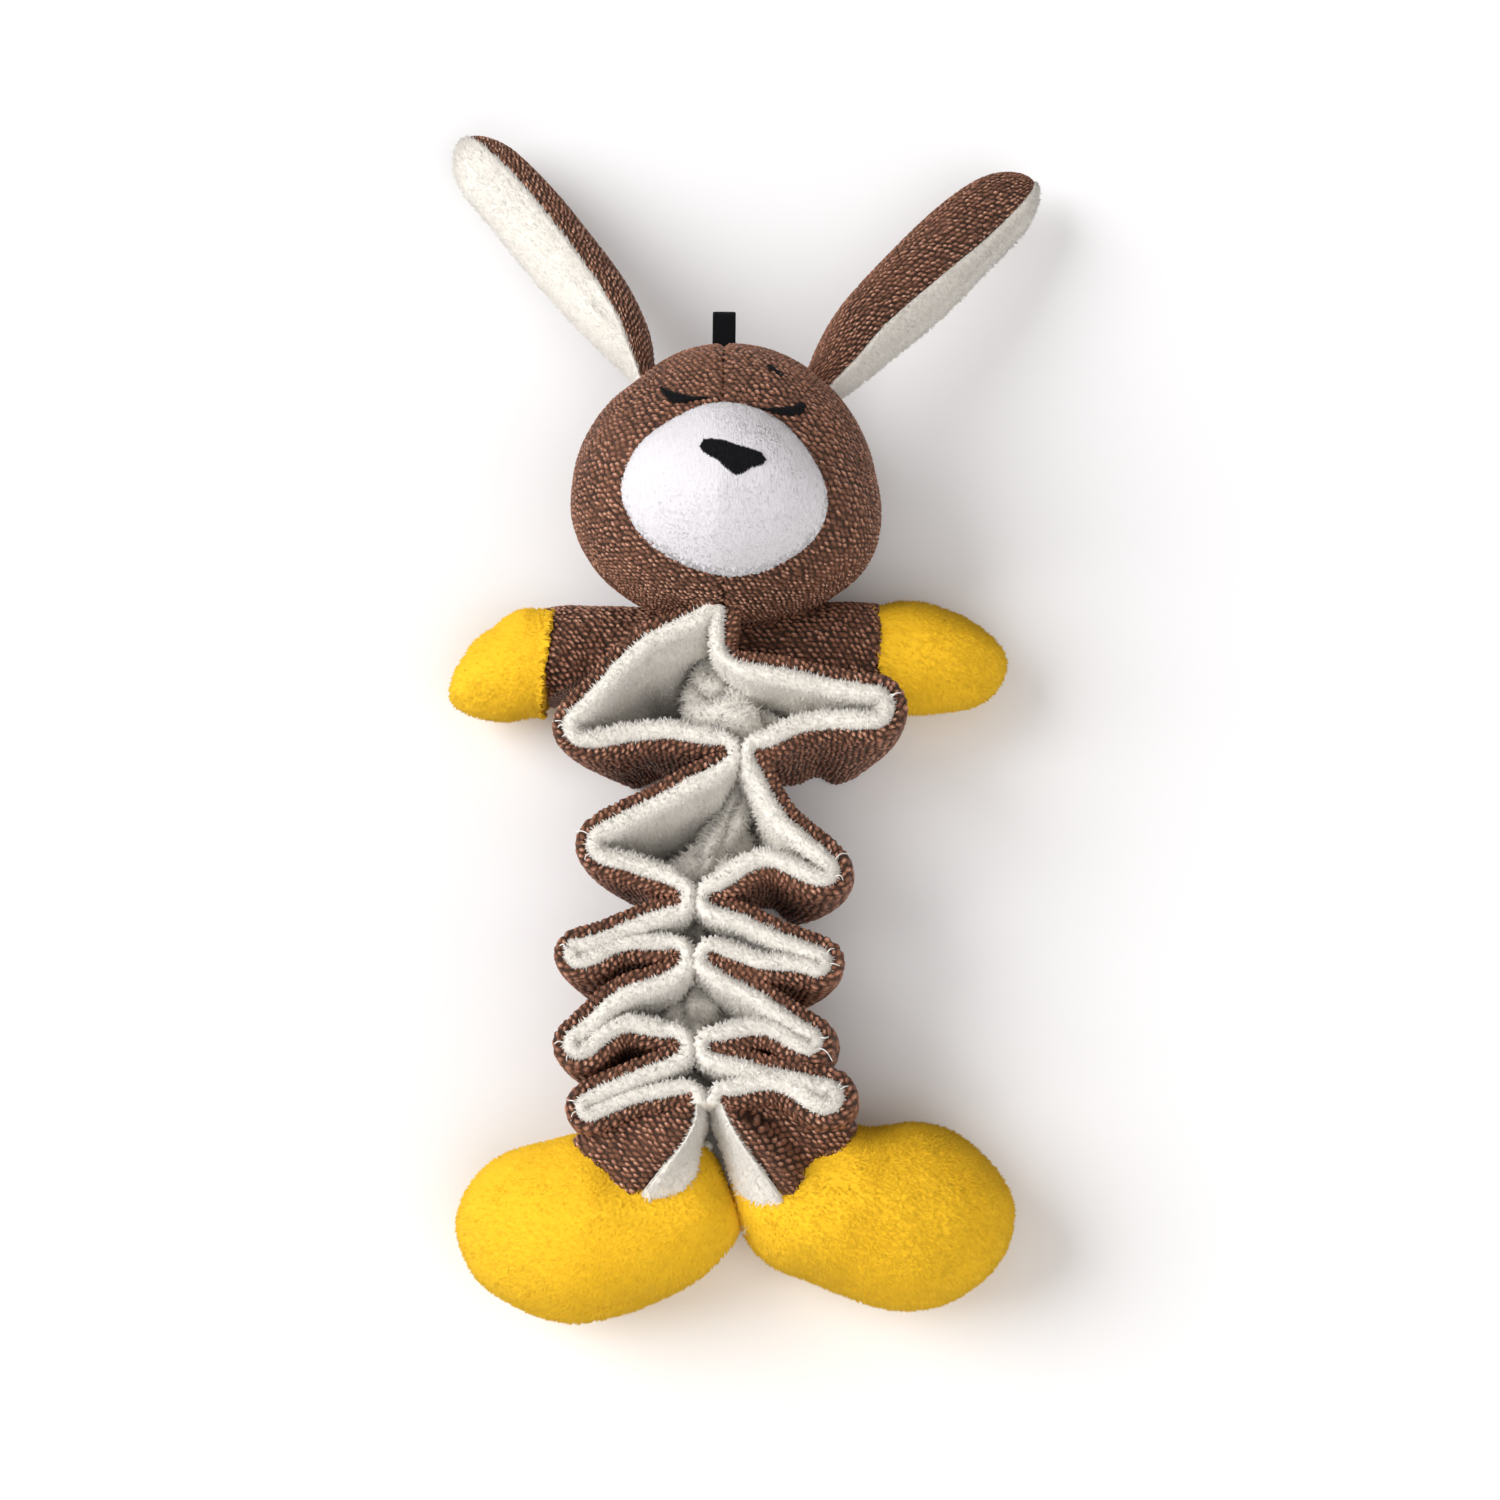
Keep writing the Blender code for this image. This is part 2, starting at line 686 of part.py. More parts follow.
def patch(name, form, outline_shares, width, height, place, slant):
    """Raised embroidery that follows the surface it is stitched on."""
    skin = in_head(grow(form, SEAM_GAP + EMBROIDERY_THICKNESS))
    piece = part(name, skin, "black_thread", HEAD_EMPTY)
    shell(piece, EMBROIDERY_THICKNESS)
    outline = [(x * width, y * height) for x, y in outline_shares]
    tool = prism(outline, HEAD_HALF_DEPTH / 2, HEAD_HALF_DEPTH + MUZZLE_HALF_DEPTH)
    matrix = Matrix.Translation((*place, 0)) @ Matrix.Rotation(slant, 4, "Z")
    bmesh.ops.transform(tool, matrix=matrix, verts=tool.verts)
    boolean(piece, cutter(f"{name}_outline", in_head(tool)), "INTERSECT")
    return piece


def on_face(shares):
    return Vector((shares[0] * HEAD_HALF_WIDTH, shares[1] * HEAD_HALF_HEIGHT))


def build_head():
    seam_z = BACK_SEAM_SHARE * HEAD_HALF_DEPTH
    wide = HEAD_HALF_WIDTH + CUT_OVERRUN
    tall = HEAD_HALF_HEIGHT + CUT_OVERRUN
    deep = HEAD_HALF_DEPTH + CUT_OVERRUN
    front = seam_z + SEAM_GAP / 2
    for side, sign in SIDES.items():
        ends = sorted((sign * SEAM_GAP / 2, sign * wide))
        piece = head_panel(f"head_panel_{side}", Vector((ends[0], -tall, front)),
                           Vector((ends[1], tall, deep)))
        boolean(piece, CUTS["muzzle"])
    piece = head_panel("head_back_panel", Vector((-wide, -tall, -deep)),
                       Vector((wide, tall, seam_z - SEAM_GAP / 2)))
    boolean(piece, CUTS["floor"])
    piece = part("muzzle_panel", in_head(muzzle_form()), "white_plush", HEAD_EMPTY)
    shell(piece, SHELL_THICKNESS)
    boolean(piece, CUTS["stuffing"])
    core = in_head(grow(head_form(), -SHELL_THICKNESS - SEAM_GAP))
    piece = part("head_stuffing", core, "filling", HEAD_EMPTY)
    boolean(piece, CUTS["muzzle_fill"], "UNION")
    boolean(piece, CUTS["well"])


def build_face():
    patch("nose_embroidery", muzzle_form(), nose_outline_shares, NOSE_WIDTH, NOSE_HEIGHT,
          on_face(nose_place_shares), 0.0)
    for side, sign in SIDES.items():
        outline = [(sign * -x, y) for x, y in eye_outline_shares]
        if sign < 0:
            outline = list(eye_outline_shares)
        slant = EYE_SLANT * -sign
        patch(f"{side}_eye_embroidery", head_form(), outline, EYE_WIDTH, EYE_HEIGHT,
              on_face(eye_place_shares[side]), slant)
    patch("brow_embroidery", head_form(), brow_outline_shares, BROW_LENGTH, BROW_HEIGHT,
          on_face(brow_place_shares), BROW_SLANT)


def build_loop():
    """Webbing folded back on itself, a hairpin seen from the side, standing on the head."""
    outer_radius = LOOP_GAP / 2 + LOOP_THICKNESS
    reach = HEAD_HALF_HEIGHT + LOOP_HEIGHT - outer_radius
    root = HEAD_HALF_HEIGHT / 2
    outline = [(root, outer_radius)]
    for radius, order in ((outer_radius, 1), (LOOP_GAP / 2, -1)):
        turn = [(reach + radius * sin(pi * i / LOOP_ARC_STEPS), radius * cos(pi * i / LOOP_ARC_STEPS))
                for i in range(LOOP_ARC_STEPS + 1)]
        outline += turn[::order]
        if order == 1:
            outline += [(root, -outer_radius), (root, -LOOP_GAP / 2)]
    outline.append((root, LOOP_GAP / 2))
    bm = prism(outline, -LOOP_WIDTH / 2, LOOP_WIDTH / 2)
    stand = Matrix(((0, 0, 1, -LOOP_OFFSET), (1, 0, 0, 0), (0, 1, 0, 0), (0, 0, 0, 1)))
    bmesh.ops.transform(bm, matrix=stand, verts=bm.verts)
    piece = part("hang_loop", in_head(bm), "webbing", HEAD_EMPTY)
    boolean(piece, CUTS["head"])


def build_squeaker():
    base = MUZZLE_CENTRE + Vector((0, 0, SEAM_GAP))
    girths = [1.0] * len(bellows_place_shares)
    girths[0] = girths[-1] = BELLOWS_END_SHARE
    girths[3] = girths[5] = BELLOWS_WAIST_SHARE
    places = [
        (share * SQUEAKER_DEPTH, girth * SQUEAKER_RADIUS)
        for share, girth in zip(bellows_place_shares, girths)
    ]
    up = Vector((0, 0, 1))
    bulb = turned(places, REED_RADIUS + SEAM_GAP, base, up)
    part("squeaker_bulb", in_head(bulb), "vinyl", HEAD_EMPTY)
    reed_places = [(0.0, REED_RADIUS), (REED_LENGTH, REED_RADIUS)]
    start = base + up * (SQUEAKER_DEPTH - REED_LENGTH)
    reed = turned(reed_places, REED_RADIUS / 2, start, up)
    part("squeaker_reed", in_head(reed), "vinyl", HEAD_EMPTY)


def ear_spine(side):
    return [
        Vector((HEAD_OFFSET + SIDES[side] * out * EAR_LENGTH, HEAD_HALF_HEIGHT + y * EAR_LENGTH,
                z * EAR_LENGTH))
        for out, y, z in ear_spine_shares[side]
    ]


def ear_crease(side):
    """Point on the front of the ear's root where it folds forward."""
    root = ear_spine(side)[1]
    return root + Vector((0, 0, EAR_HALF_HEIGHT))


def build_ears():
    for side, sign in SIDES.items():
        carrier = empty(f"{side}_ear_hinge", ear_crease(side), TOY)
        spine = ear_spine(side)
        halves = (("back_panel", -sign, "knit"), ("lining", sign, "plush"))
        for label, half, finish in halves:
            form = limb(
                spine,
                lambda s: EAR_HALF_THICKNESS * along(ear_girth_shares, s) * rounded(s),
                lambda s: EAR_HALF_HEIGHT * along(ear_girth_shares, s) * rounded(s),
                side=half,
                power=lambda s: 1.7,
                roll=EAR_ROLL * sign,
            )
            piece = part(f"{side}_ear_{label}", form, finish, carrier)
            boolean(piece, CUTS["head"])


def arm_spine(side):
    return [
        Vector((SIDES[side] * out * ARM_REACH, y * ARM_REACH, ARM_LIFT))
        for out, y in arm_spine_shares[side]
    ]


def arm_form(side, extra):
    return limb(
        arm_spine(side),
        lambda s: (ARM_HALF_HEIGHT * along(arm_girth_shares, s) + extra) * rounded(s, 0.2, 0.25),
        lambda s: (ARM_HALF_DEPTH * along(arm_girth_shares, s) + extra) * rounded(s, 0.2, 0.25),
    )


def arm_crease(side):
    """Point on the front of the cuff where the arm folds forward."""
    middle = along(arm_spine(side), 0.5)
    return Vector((SIDES[side] * CUFF_REACH, middle.y, ARM_LIFT + ARM_HALF_DEPTH + HAND_PROUD))


def build_arms():
    for side, sign in SIDES.items():
        cuff = Vector((sign * CUFF_REACH, 0, 0))
        out = Vector((sign, 0, 0))
        sleeve = cut_flat(arm_form(side, 0.0), cuff, out)
        piece = part(f"{side}_sleeve", sleeve, "knit", HEAD_EMPTY)
        boolean(piece, CUTS["head"])
        boolean(piece, CUTS[f"{side}_chest"])
        carrier = empty(f"{side}_arm_hinge", arm_crease(side), TOY)
        hand = cut_flat(arm_form(side, HAND_PROUD), cuff + out * SEAM_GAP, -out)
        piece = part(f"{side}_hand", hand, "yellow_plush", carrier)
        boolean(piece, CUTS[f"{side}_chest"])


def leg_spine(side):
    """Seam line of the leg, straight down from the last station and then out to the ankle."""
    sign = SIDES[side]
    tip = Vector((cord_x(SECTIONS) + sign * STATION_TIP, station_y(SECTIONS), BAND_MIDDLE))
    out_shares = (0.0, 0.0, 0.14, 0.38, 0.66)
    down_shares = (0.0, 0.26, 0.54, 0.82, 1.10)
    sink = BAND_MIDDLE - (FOOT_HALF_DEPTH - REST_CUT)
    return [
        tip + Vector((sign * a * LEG_LENGTH, -b * LEG_LENGTH - SEAM_GAP / 2, -a * sink))
        for a, b in zip(out_shares, down_shares)
    ]


def build_legs():
    for side, sign in SIDES.items():
        hinge = Vector((cord_x(SECTIONS), station_y(SECTIONS), BAND_WIDTH + LEG_LIFT_OFF))
        carrier = empty(f"{side}_leg_hinge", hinge, TOY)
        spine = leg_spine(side)
        start_height = BAND_MIDDLE - LEG_LIFT_OFF
        halves = (
            ("knit", -1, KNIT_THICKNESS, 2.0),
            ("plush", 1, PLUSH_THICKNESS, 3.0),
        )
        for finish, half, thickness, ease in halves:
            form = limb(
                spine,
                lambda s, t=thickness, e=ease: t + (ANKLE_HALF_WIDTH - t) * s ** e,
                lambda s: start_height + (ANKLE_HALF_HEIGHT - start_height) * s,
                side=half * sign,
                power=lambda s: 6.0 - 3.6 * s,
            )
            piece = part(f"{side}_leg_{finish}", form, finish, carrier)
            boolean(piece, CUTS["left_foot"])
            boolean(piece, CUTS["right_foot"])
            boolean(piece, CUTS[f"{side}_hem"])
        build_foot(side, carrier)


def foot_form(side, extra=0.0):
    sign = SIDES[side]
    drop = FOOT_DROP * (1 - foot_rise_shares[side])
    heel = Vector((FEET_MIDDLE, station_y(SECTIONS) - drop, FOOT_HALF_DEPTH - REST_CUT))
    heel.x += sign * SEAM_GAP
    line = Matrix.Rotation(foot_turn[side], 3, "Z") @ Vector((sign, 0, 0)) * FOOT_LENGTH
    count = len(foot_girth_shares) - 1
    spine = [heel + line * i / count for i in range(count + 1)]

    def girth(s):
        ends = rounded(s, 0.42, 0.16) * rounded(1 - s, 0.36, 0.16)
        return along(foot_girth_shares, s) * ends

    bm = limb(
        spine,
        lambda s: FOOT_HALF_HEIGHT * girth(s),
        lambda s: FOOT_HALF_DEPTH * girth(s),
        power=lambda s: 2.2,
    )
    if extra:
        grow(bm, extra)
    return bm, heel + line / 2


def build_foot(side, carrier):
    for label, normal in (("upper", Vector((0, -1, 0))), ("sole", Vector((0, 1, 0)))):
        form, middle = foot_form(side)
        split = middle + Vector((0, -SOLE_SHARE * FOOT_HALF_HEIGHT, 0))
        form = cut_flat(form, split - normal * SEAM_GAP / 2, normal)
        form = cut_flat(form, Vector((0, 0, 0)), Vector((0, 0, -1)))
        part(f"{side}_foot_{label}", form, "yellow_plush", carrier)


def build_limb_cutters():
    """Room that the arms leave for the chest, and the legs for the feet and the last pleat."""
    for side in SIDES:
        far = SEAM_GAP + KNIT_THICKNESS + SEAM_GAP / 2
        deep = -STATION_TIP
        chest = prism(layer_outline(side, 0, deep, far), -CUT_OVERRUN, BAND_WIDTH + CUT_OVERRUN)
        CUTS[f"{side}_chest"] = cutter(f"{side}_chest_clearance", chest)
        hem = prism(
            layer_outline(side, SECTIONS - 1, SEAM_GAP / 2, far), -CUT_OVERRUN,
            BAND_WIDTH + CUT_OVERRUN,
        )
        CUTS[f"{side}_hem"] = cutter(f"{side}_hem_clearance", hem)
        foot, _ = foot_form(side, SEAM_GAP)
        CUTS[f"{side}_foot"] = cutter(f"{side}_foot_clearance", foot)


def set_on_origin():
    """Put the middle of the toy's box over the origin, with its rest faces on Z = 0."""
    bpy.context.view_layer.update()
    graph = bpy.context.evaluated_depsgraph_get()
    low = Vector((inf, inf, inf))
    high = -low
    for item in PARTS.objects:
        if item.type != "MESH":
            continue
        shown = item.evaluated_get(graph)
        for vertex in shown.data.vertices:
            place = shown.matrix_world @ vertex.co
            low = Vector(map(min, low, place))
            high = Vector(map(max, high, place))
    middle = (low + high) / 2
    TOY.location = (-middle.x, -middle.y, -low.z)
    bpy.context.view_layer.update()
    print("size", [round(value / MM, 2) for value in high - low])
    for item in PARTS.objects:
        if item.type == "EMPTY":
            print(item.name, [round(value, 5) for value in item.matrix_world.translation])


clear_scene()
PARTS = make_collection(NAME)
CUTTERS = make_collection(f"{NAME}_cutters")
CUTS = {}
TOY = empty("toy", (0, 0, 0))
HEAD_MATRIX = Matrix.Translation(HEAD_CENTRE) @ Matrix.Rotation(HEAD_LEAN, 4, "Z")
HEAD_EMPTY = empty("head_body", HEAD_CENTRE, TOY)
SECTION_EMPTIES = [
    empty(f"station_{index}", (cord_x(index), station_y(index), BAND_MIDDLE), TOY)
    for index in range(SECTIONS + 1)
]
build_head_cutters()
build_limb_cutters()
build_head()
build_face()
build_loop()
build_squeaker()
build_pleats()
build_cord()
build_ears()
build_arms()
build_legs()
set_on_origin()
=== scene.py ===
"""Plush rabbit toy with a concertina body, dressed in its knit, plush, stitching and webbing.

The toy lies on its back along Y, ears at +Y and feet at -Y, on the plane Z = 0. Lengths in the
tables are millimetres, and become metres where a piece is laid out.
"""
import random
from math import acos, asin, atan2, cos, exp, floor, hypot, pi, radians, sin, sqrt, tan

import bmesh
import bpy
from mathutils import Matrix, Vector, noise
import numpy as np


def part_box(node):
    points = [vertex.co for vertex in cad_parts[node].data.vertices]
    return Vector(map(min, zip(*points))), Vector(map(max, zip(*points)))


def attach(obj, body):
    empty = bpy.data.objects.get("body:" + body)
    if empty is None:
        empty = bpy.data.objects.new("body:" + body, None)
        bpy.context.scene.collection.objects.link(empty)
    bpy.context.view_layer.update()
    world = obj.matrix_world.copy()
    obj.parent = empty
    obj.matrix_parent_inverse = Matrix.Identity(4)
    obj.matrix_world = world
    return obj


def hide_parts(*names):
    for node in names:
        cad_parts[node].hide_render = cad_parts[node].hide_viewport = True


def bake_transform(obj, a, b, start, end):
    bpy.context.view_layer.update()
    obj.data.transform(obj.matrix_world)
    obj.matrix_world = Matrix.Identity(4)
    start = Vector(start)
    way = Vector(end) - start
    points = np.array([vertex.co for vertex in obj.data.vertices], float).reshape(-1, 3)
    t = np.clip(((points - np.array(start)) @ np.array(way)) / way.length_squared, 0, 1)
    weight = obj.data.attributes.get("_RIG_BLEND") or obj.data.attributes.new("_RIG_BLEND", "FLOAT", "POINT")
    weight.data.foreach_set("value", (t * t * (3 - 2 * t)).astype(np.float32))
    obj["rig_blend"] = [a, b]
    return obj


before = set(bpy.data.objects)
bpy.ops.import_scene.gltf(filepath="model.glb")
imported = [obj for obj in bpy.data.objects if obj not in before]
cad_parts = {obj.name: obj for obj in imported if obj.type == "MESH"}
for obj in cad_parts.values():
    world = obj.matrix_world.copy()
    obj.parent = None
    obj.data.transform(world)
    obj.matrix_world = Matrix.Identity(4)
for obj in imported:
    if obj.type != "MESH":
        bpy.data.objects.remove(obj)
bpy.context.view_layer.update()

bl_info = {
    "name": "Plush concertina rabbit",
    "version": (1, 0, 0),
    "blender": (4, 5, 0),
    "location": "View3D > Sidebar > Rabbit",
    "description": "Builds a plush rabbit toy with a pleated body that stretches",
    "category": "Object",
}

MM = 0.001
# Everything is kept this far over the floor
FLOOR_GAP = 0.1
SIDES = {"left": -1.0, "right": 1.0}
BODIES = ("head", "section_1", "section_2", "section_3", "section_4", "section_5")

# Head, from above, as distances from its middle every 15 degrees round from +X
HEAD_MIDDLE = (-5.34, 85.09, 46.5)
head_outline = (
    54.8, 53.2, 51.4, 50.3, 50.3, 50.2, 49.7, 48.9, 48.0, 48.2, 50.2, 52.2,
    54.6, 56.4, 56.0, 54.4, 53.0, 52.6, 52.6, 53.0, 54.6, 57.6, 59.6, 58.0,
)
HEAD_ROUNDNESS = 2.2
# Distance over the head's cloth that goes with a turn of one radian
HEAD_REACH = 50.0
FRONT_REACH = 52.0
# Where the seam round the head lies, and the depth and half width of each kind of seam
BACK_SEAM = -0.12
side_seam, front_seam, limb_seam = (0.9, 1.4), (1.3, 1.3), (1.1, 1.3)
# Muzzle, from above, in the same way
MUZZLE_MIDDLE = (-5.3, 70.0)
muzzle_outline = (
    35.6, 32.9, 31.1, 30.0, 29.1, 28.7, 28.6, 28.5, 28.4, 29.6, 32.2, 34.4,
    35.8, 34.1, 31.8, 29.8, 28.4, 28.0, 28.5, 29.2, 30.4, 32.2, 34.9, 36.6,
)
nose_outline = (
    (-13.4, 78.5), (-11.9, 81.1), (-9.9, 81.4), (-5.1, 80.6), (-0.3, 78.9), (5.3, 77.5),
    (8.1, 76.6), (9.6, 74.1), (8.5, 72.1), (4.9, 70.9), (1.3, 68.6), (-0.2, 67.9),
    (-1.9, 68.4), (-5.1, 71.0), (-7.1, 73.3), (-9.9, 74.5), (-12.3, 76.3),
)
eye_outlines = {
    "left": (
        (-27.7, 108.4), (-24.8, 105.8), (-21.5, 104.1), (-16.6, 102.3), (-9.7, 100.9),
        (-13.3, 100.2), (-17.4, 99.7), (-21.4, 99.6), (-23.7, 100.3), (-25.9, 103.2),
        (-27.2, 105.6),
    ),
    "right": (
        (6.5, 96.9), (10.9, 97.4), (15.8, 98.9), (19.1, 99.7), (22.3, 101.9), (23.8, 100.8),
        (23.3, 97.6), (21.5, 95.8), (17.4, 94.9), (14.2, 95.5), (10.9, 95.8),
    ),
}
brow_outline = (
    (9.8, 116.8), (11.5, 117.6), (15.1, 114.6), (16.4, 113.4), (19.3, 111.9), (20.6, 111.0),
    (18.0, 110.9), (14.0, 112.0), (11.1, 114.4),
)

# Ears: the middle line, half widths and half heights, and how far the seam on the front lies from
# the middle as a share of the half width
ear_middles = {
    "left": (
        (-30.0, 109.8, 50.0), (-34.7, 125.1, 50.0), (-40.5, 138.8, 47.0), (-48.5, 152.6, 43.0),
        (-57.5, 166.4, 38.0), (-67.0, 179.8, 34.0), (-76.5, 193.6, 30.0), (-86.3, 207.2, 25.0),
        (-96.2, 219.8, 21.0), (-103.8, 231.4, 18.0),
    ),
    "right": (
        (20.5, 107.0, 50.0), (28.4, 119.0, 50.0), (37.0, 131.2, 47.0), (46.2, 144.1, 43.0),
        (56.5, 156.4, 38.0), (67.3, 168.8, 34.0), (77.8, 181.5, 30.0), (88.8, 194.1, 25.0),
        (100.0, 205.4, 21.0), (110.8, 214.6, 18.0),
    ),
}
ear_half_widths = {
    "left": (3.0, 4.2, 8.4, 11.2, 12.5, 13.0, 13.1, 12.7, 11.9, 10.4),
    "right": (4.5, 6.2, 10.2, 12.8, 14.3, 14.9, 14.8, 14.2, 12.6, 10.4),
}
ear_half_heights = (10.0, 11.0, 12.2, 12.6, 12.4, 11.5, 10.2, 8.8, 7.6, 6.4)
ear_seam_shares = {
    "left": (-0.30, -0.16, 0.13, 0.26, 0.32, 0.38, 0.40, 0.44, 0.46, 0.48),
    "right": (0.50, 0.50, 0.44, 0.36, 0.34, 0.39, 0.49, 0.53, 0.50, 0.52),
}

# Arms: the middle line and the half widths from the chin to the cuff, and the hands from above
arm_lines = {
    "left": ((-8.0, 27.5, 22.0), (-30.0, 27.5, 21.0), (-52.0, 27.0, 20.0), (-70.6, 25.4, 20.0)),
    "right": ((-6.0, 27.0, 22.0), (14.0, 28.0, 21.0), (34.0, 28.4, 20.0), (51.4, 27.4, 20.0)),
}
SLEEVE_RADIUS = 17.8
arm_half_heights = (15.0, 17.0, 18.6, 19.2)
arm_half_depths = (15.0, 16.0, 16.5, 16.4)
HAND_HEIGHT = 20.0
hand_middles = {"left": (-78.0, 25.2), "right": (70.0, 26.6)}
hand_outlines = {
    "left": (
        34.0, 33.0, 29.0, 25.0, 21.8, 20.2, 19.6, 18.4, 17.2, 16.2, 17.4, 19.5,
        22.0, 26.2, 29.4, 27.0, 24.2, 22.0, 20.2, 20.0, 22.0, 25.0, 29.0, 33.0,
    ),
    "right": (
        26.6, 23.4, 20.2, 18.4, 17.5, 17.4, 18.4, 20.0, 22.4, 26.0, 30.0, 33.0,
        34.0, 33.0, 31.0, 28.0, 24.0, 21.6, 20.0, 19.8, 20.9, 23.2, 25.3, 26.8,
    ),
}

# Legs: the seam between knit and plush from the last station to the ankle, and the outer edges
leg_seams = {
    "left": (
        (-15.6, -139.0), (-15.0, -149.0), (-19.6, -158.6), (-28.2, -167.6), (-39.5, -180.5),
    ),
    "right": (
        (-7.0, -139.0), (-3.6, -149.0), (1.8, -158.0), (9.8, -168.0), (19.5, -180.0),
    ),
}
leg_knit_edges = {
    "left": (
        (-20.0, -140.5), (-36.0, -142.0), (-48.0, -146.0), (-57.0, -152.5), (-65.0, -162.0),
    ),
    "right": (
        (-1.0, -139.5), (14.0, -138.5), (28.0, -138.5), (38.0, -143.0), (45.0, -154.0),
    ),
}
leg_plush_edges = {
    "left": (
        (-11.8, -139.0), (-11.4, -147.0), (-13.4, -156.0), (-11.6, -167.0), (-8.5, -180.0),
    ),
    "right": (
        (-10.5, -139.0), (-8.6, -147.0), (-5.0, -157.0), (-2.0, -168.0), (2.0, -181.0),
    ),
}
leg_half_heights = (29.4, 29.4, 28.6, 25.5, 16.5)

# Feet from above, and the line of the seam round the sole
FOOT_HEIGHT = 27.0
foot_middles = {"left": (-50.0, -182.2), "right": (46.0, -176.2)}
foot_outlines = {
    "left": (
        49.5, 48.0, 48.5, 46.0, 37.5, 32.8, 31.8, 31.2, 32.2, 36.5, 41.8, 46.2,
        48.1, 46.0, 42.8, 39.0, 35.7, 33.6, 31.6, 31.2, 32.0, 34.8, 39.2, 43.8,
    ),
    "right": (
        49.1, 45.3, 41.1, 37.6, 33.5, 29.4, 28.4, 30.8, 36.8, 44.4, 49.4, 49.4,
        46.4, 42.4, 38.6, 32.8, 30.6, 30.3, 32.2, 35.1, 38.8, 42.8, 46.8, 49.1,
    ),
}
SOLE_DROP = 20.0
# Where each foot gives way to its ankle, and how deep
ankle_hollows = {"left": ((-30.0, -164.0), 7.0), "right": ((22.0, -152.0), 14.0)}

# Body bands, laid out like belts round a circle at each station and each outer fold
TOY_MIDDLE = (-9.641, 34.093)
BODY_LENGTH = 178.0
CHIN_RUN = 12.0
CHIN_BEND = 8.0
STATION_TIP = 4.35
FOLD_RADIUS = 8.0
PLEAT_REACH = 46.5
BOW = 5.0
CORD_SWAY = 10.5
BAND_MIDDLE = 30.0
SLEEVE_NECK_RUN = 5.0
section_height_shares = (0.301, 0.295, 0.118, 0.177, 0.109)
cord_sway_shares = (0.0, 1.0, -0.52, -0.55, -0.53, -0.12)
chin_drop_shares = {"left": 0.065, "right": 0.224}
station_radii = {"left": 3.3, "right": 2.2}
# Reach, drop, radius, and how far the upper and lower leaves bow
fold_shares = {
    "left": (
        (0.96, 0.813, 1.00, 0.9, -0.4), (0.78, 0.629, 0.94, 0.0, -0.1),
        (0.98, 0.929, 0.66, 0.0, -0.5), (0.97, 0.968, 0.73, 0.6, -1.1),
        (0.89, 1.080, 0.62, 0.0, -0.3),
    ),
    "right": (
        (1.22, 0.688, 1.02, 0.0, -0.5), (0.84, 0.806, 0.73, -0.8, -1.4),
        (0.79, 1.080, 0.66, 0.0, 0.3), (0.72, 0.930, 0.64, 0.0, -0.9),
        (0.85, 0.900, 0.80, 0.0, -0.9),
    ),
}
# How far the foot of an outer fold is drawn in, and below how far its side bulges
fold_tucks = {"left": (24.0, 13.0, 9.0, 8.0, 8.0), "right": (12.0, 13.0, 15.0, 9.0, 9.0)}
# How far the foot of each upper leaf leans to the feet, and of each lower leaf to the head
leaf_leans = {
    "left": ((17.0, 4.5), (12.0, 4.0), (3.0, 2.5), (5.0, 3.0), (2.0, 1.0)),
    "right": ((8.0, 1.0), (9.0, 4.0), (3.0, 2.5), (5.0, 3.0), (2.0, 1.0)),
}
fold_bulges = {"left": (0.5, 1.0, 0.5, 0.5, 0.5), "right": (2.0, 4.0, 2.5, 4.5, 3.5)}
# Radius of the gathered sleeve along each stretch of the cord
cord_girths = (
    (3.0, 8.0, 11.0, 11.5, 13.0, 12.0, 9.0, 2.4), (2.4, 3.5, 5.5, 7.5, 9.5, 10.5, 8.5, 2.4),
    (2.2, 3.0, 3.6, 3.0, 2.2), (2.2, 5.0, 8.0, 8.6, 6.5, 2.4), (2.2, 3.0, 3.4, 2.2),
)

# Hang loop, and how far its ends reach into the head and its top stands over the head's middle
LOOP_WIDTH = 8.4
LOOP_THICKNESS = 1.0
LOOP_GAP = 6.4
LOOP_HEIGHT = 15.0
LOOP_OFFSET = 0.6
LOOP_ROOT = 30.0
HEAD_TOP = 50.0

# Stitches of the knit, the same in its mesh and in its finish: how a stitch's own number follows
# from its column and row, how far that number lets it stray, and its slant and squeeze
KEY_BY_COLUMN, KEY_BY_ROW, KEY_START = 0.7549, 0.5698, 1.7
STRAY_KEY_X, STRAY_KEY_Y = 43.3, 61.7
STRAY_X, STRAY_Y = 0.42, 0.46
STITCH_SLANT = 0.45
SQUEEZE_X, SQUEEZE_Y = 1.85, 2.0
# How coarse and how far the rows of stitches wander
row_drifts = ((110, 0.8), (290, 0.45))
DRIFT_SEED = 5
STITCH_LEVEL = 0.6


# What a user may change

def length(name, description, millimetres):
    """A length that a user may change."""
    return bpy.props.FloatProperty(
        name=name, description=description, default=millimetres * MM, unit="LENGTH", precision=5,
    )


def colour(name, description, value):
    """A colour that a user may change."""
    return bpy.props.FloatVectorProperty(
        name=name, description=description, default=value, subtype="COLOR", size=3, min=0, max=1,
    )


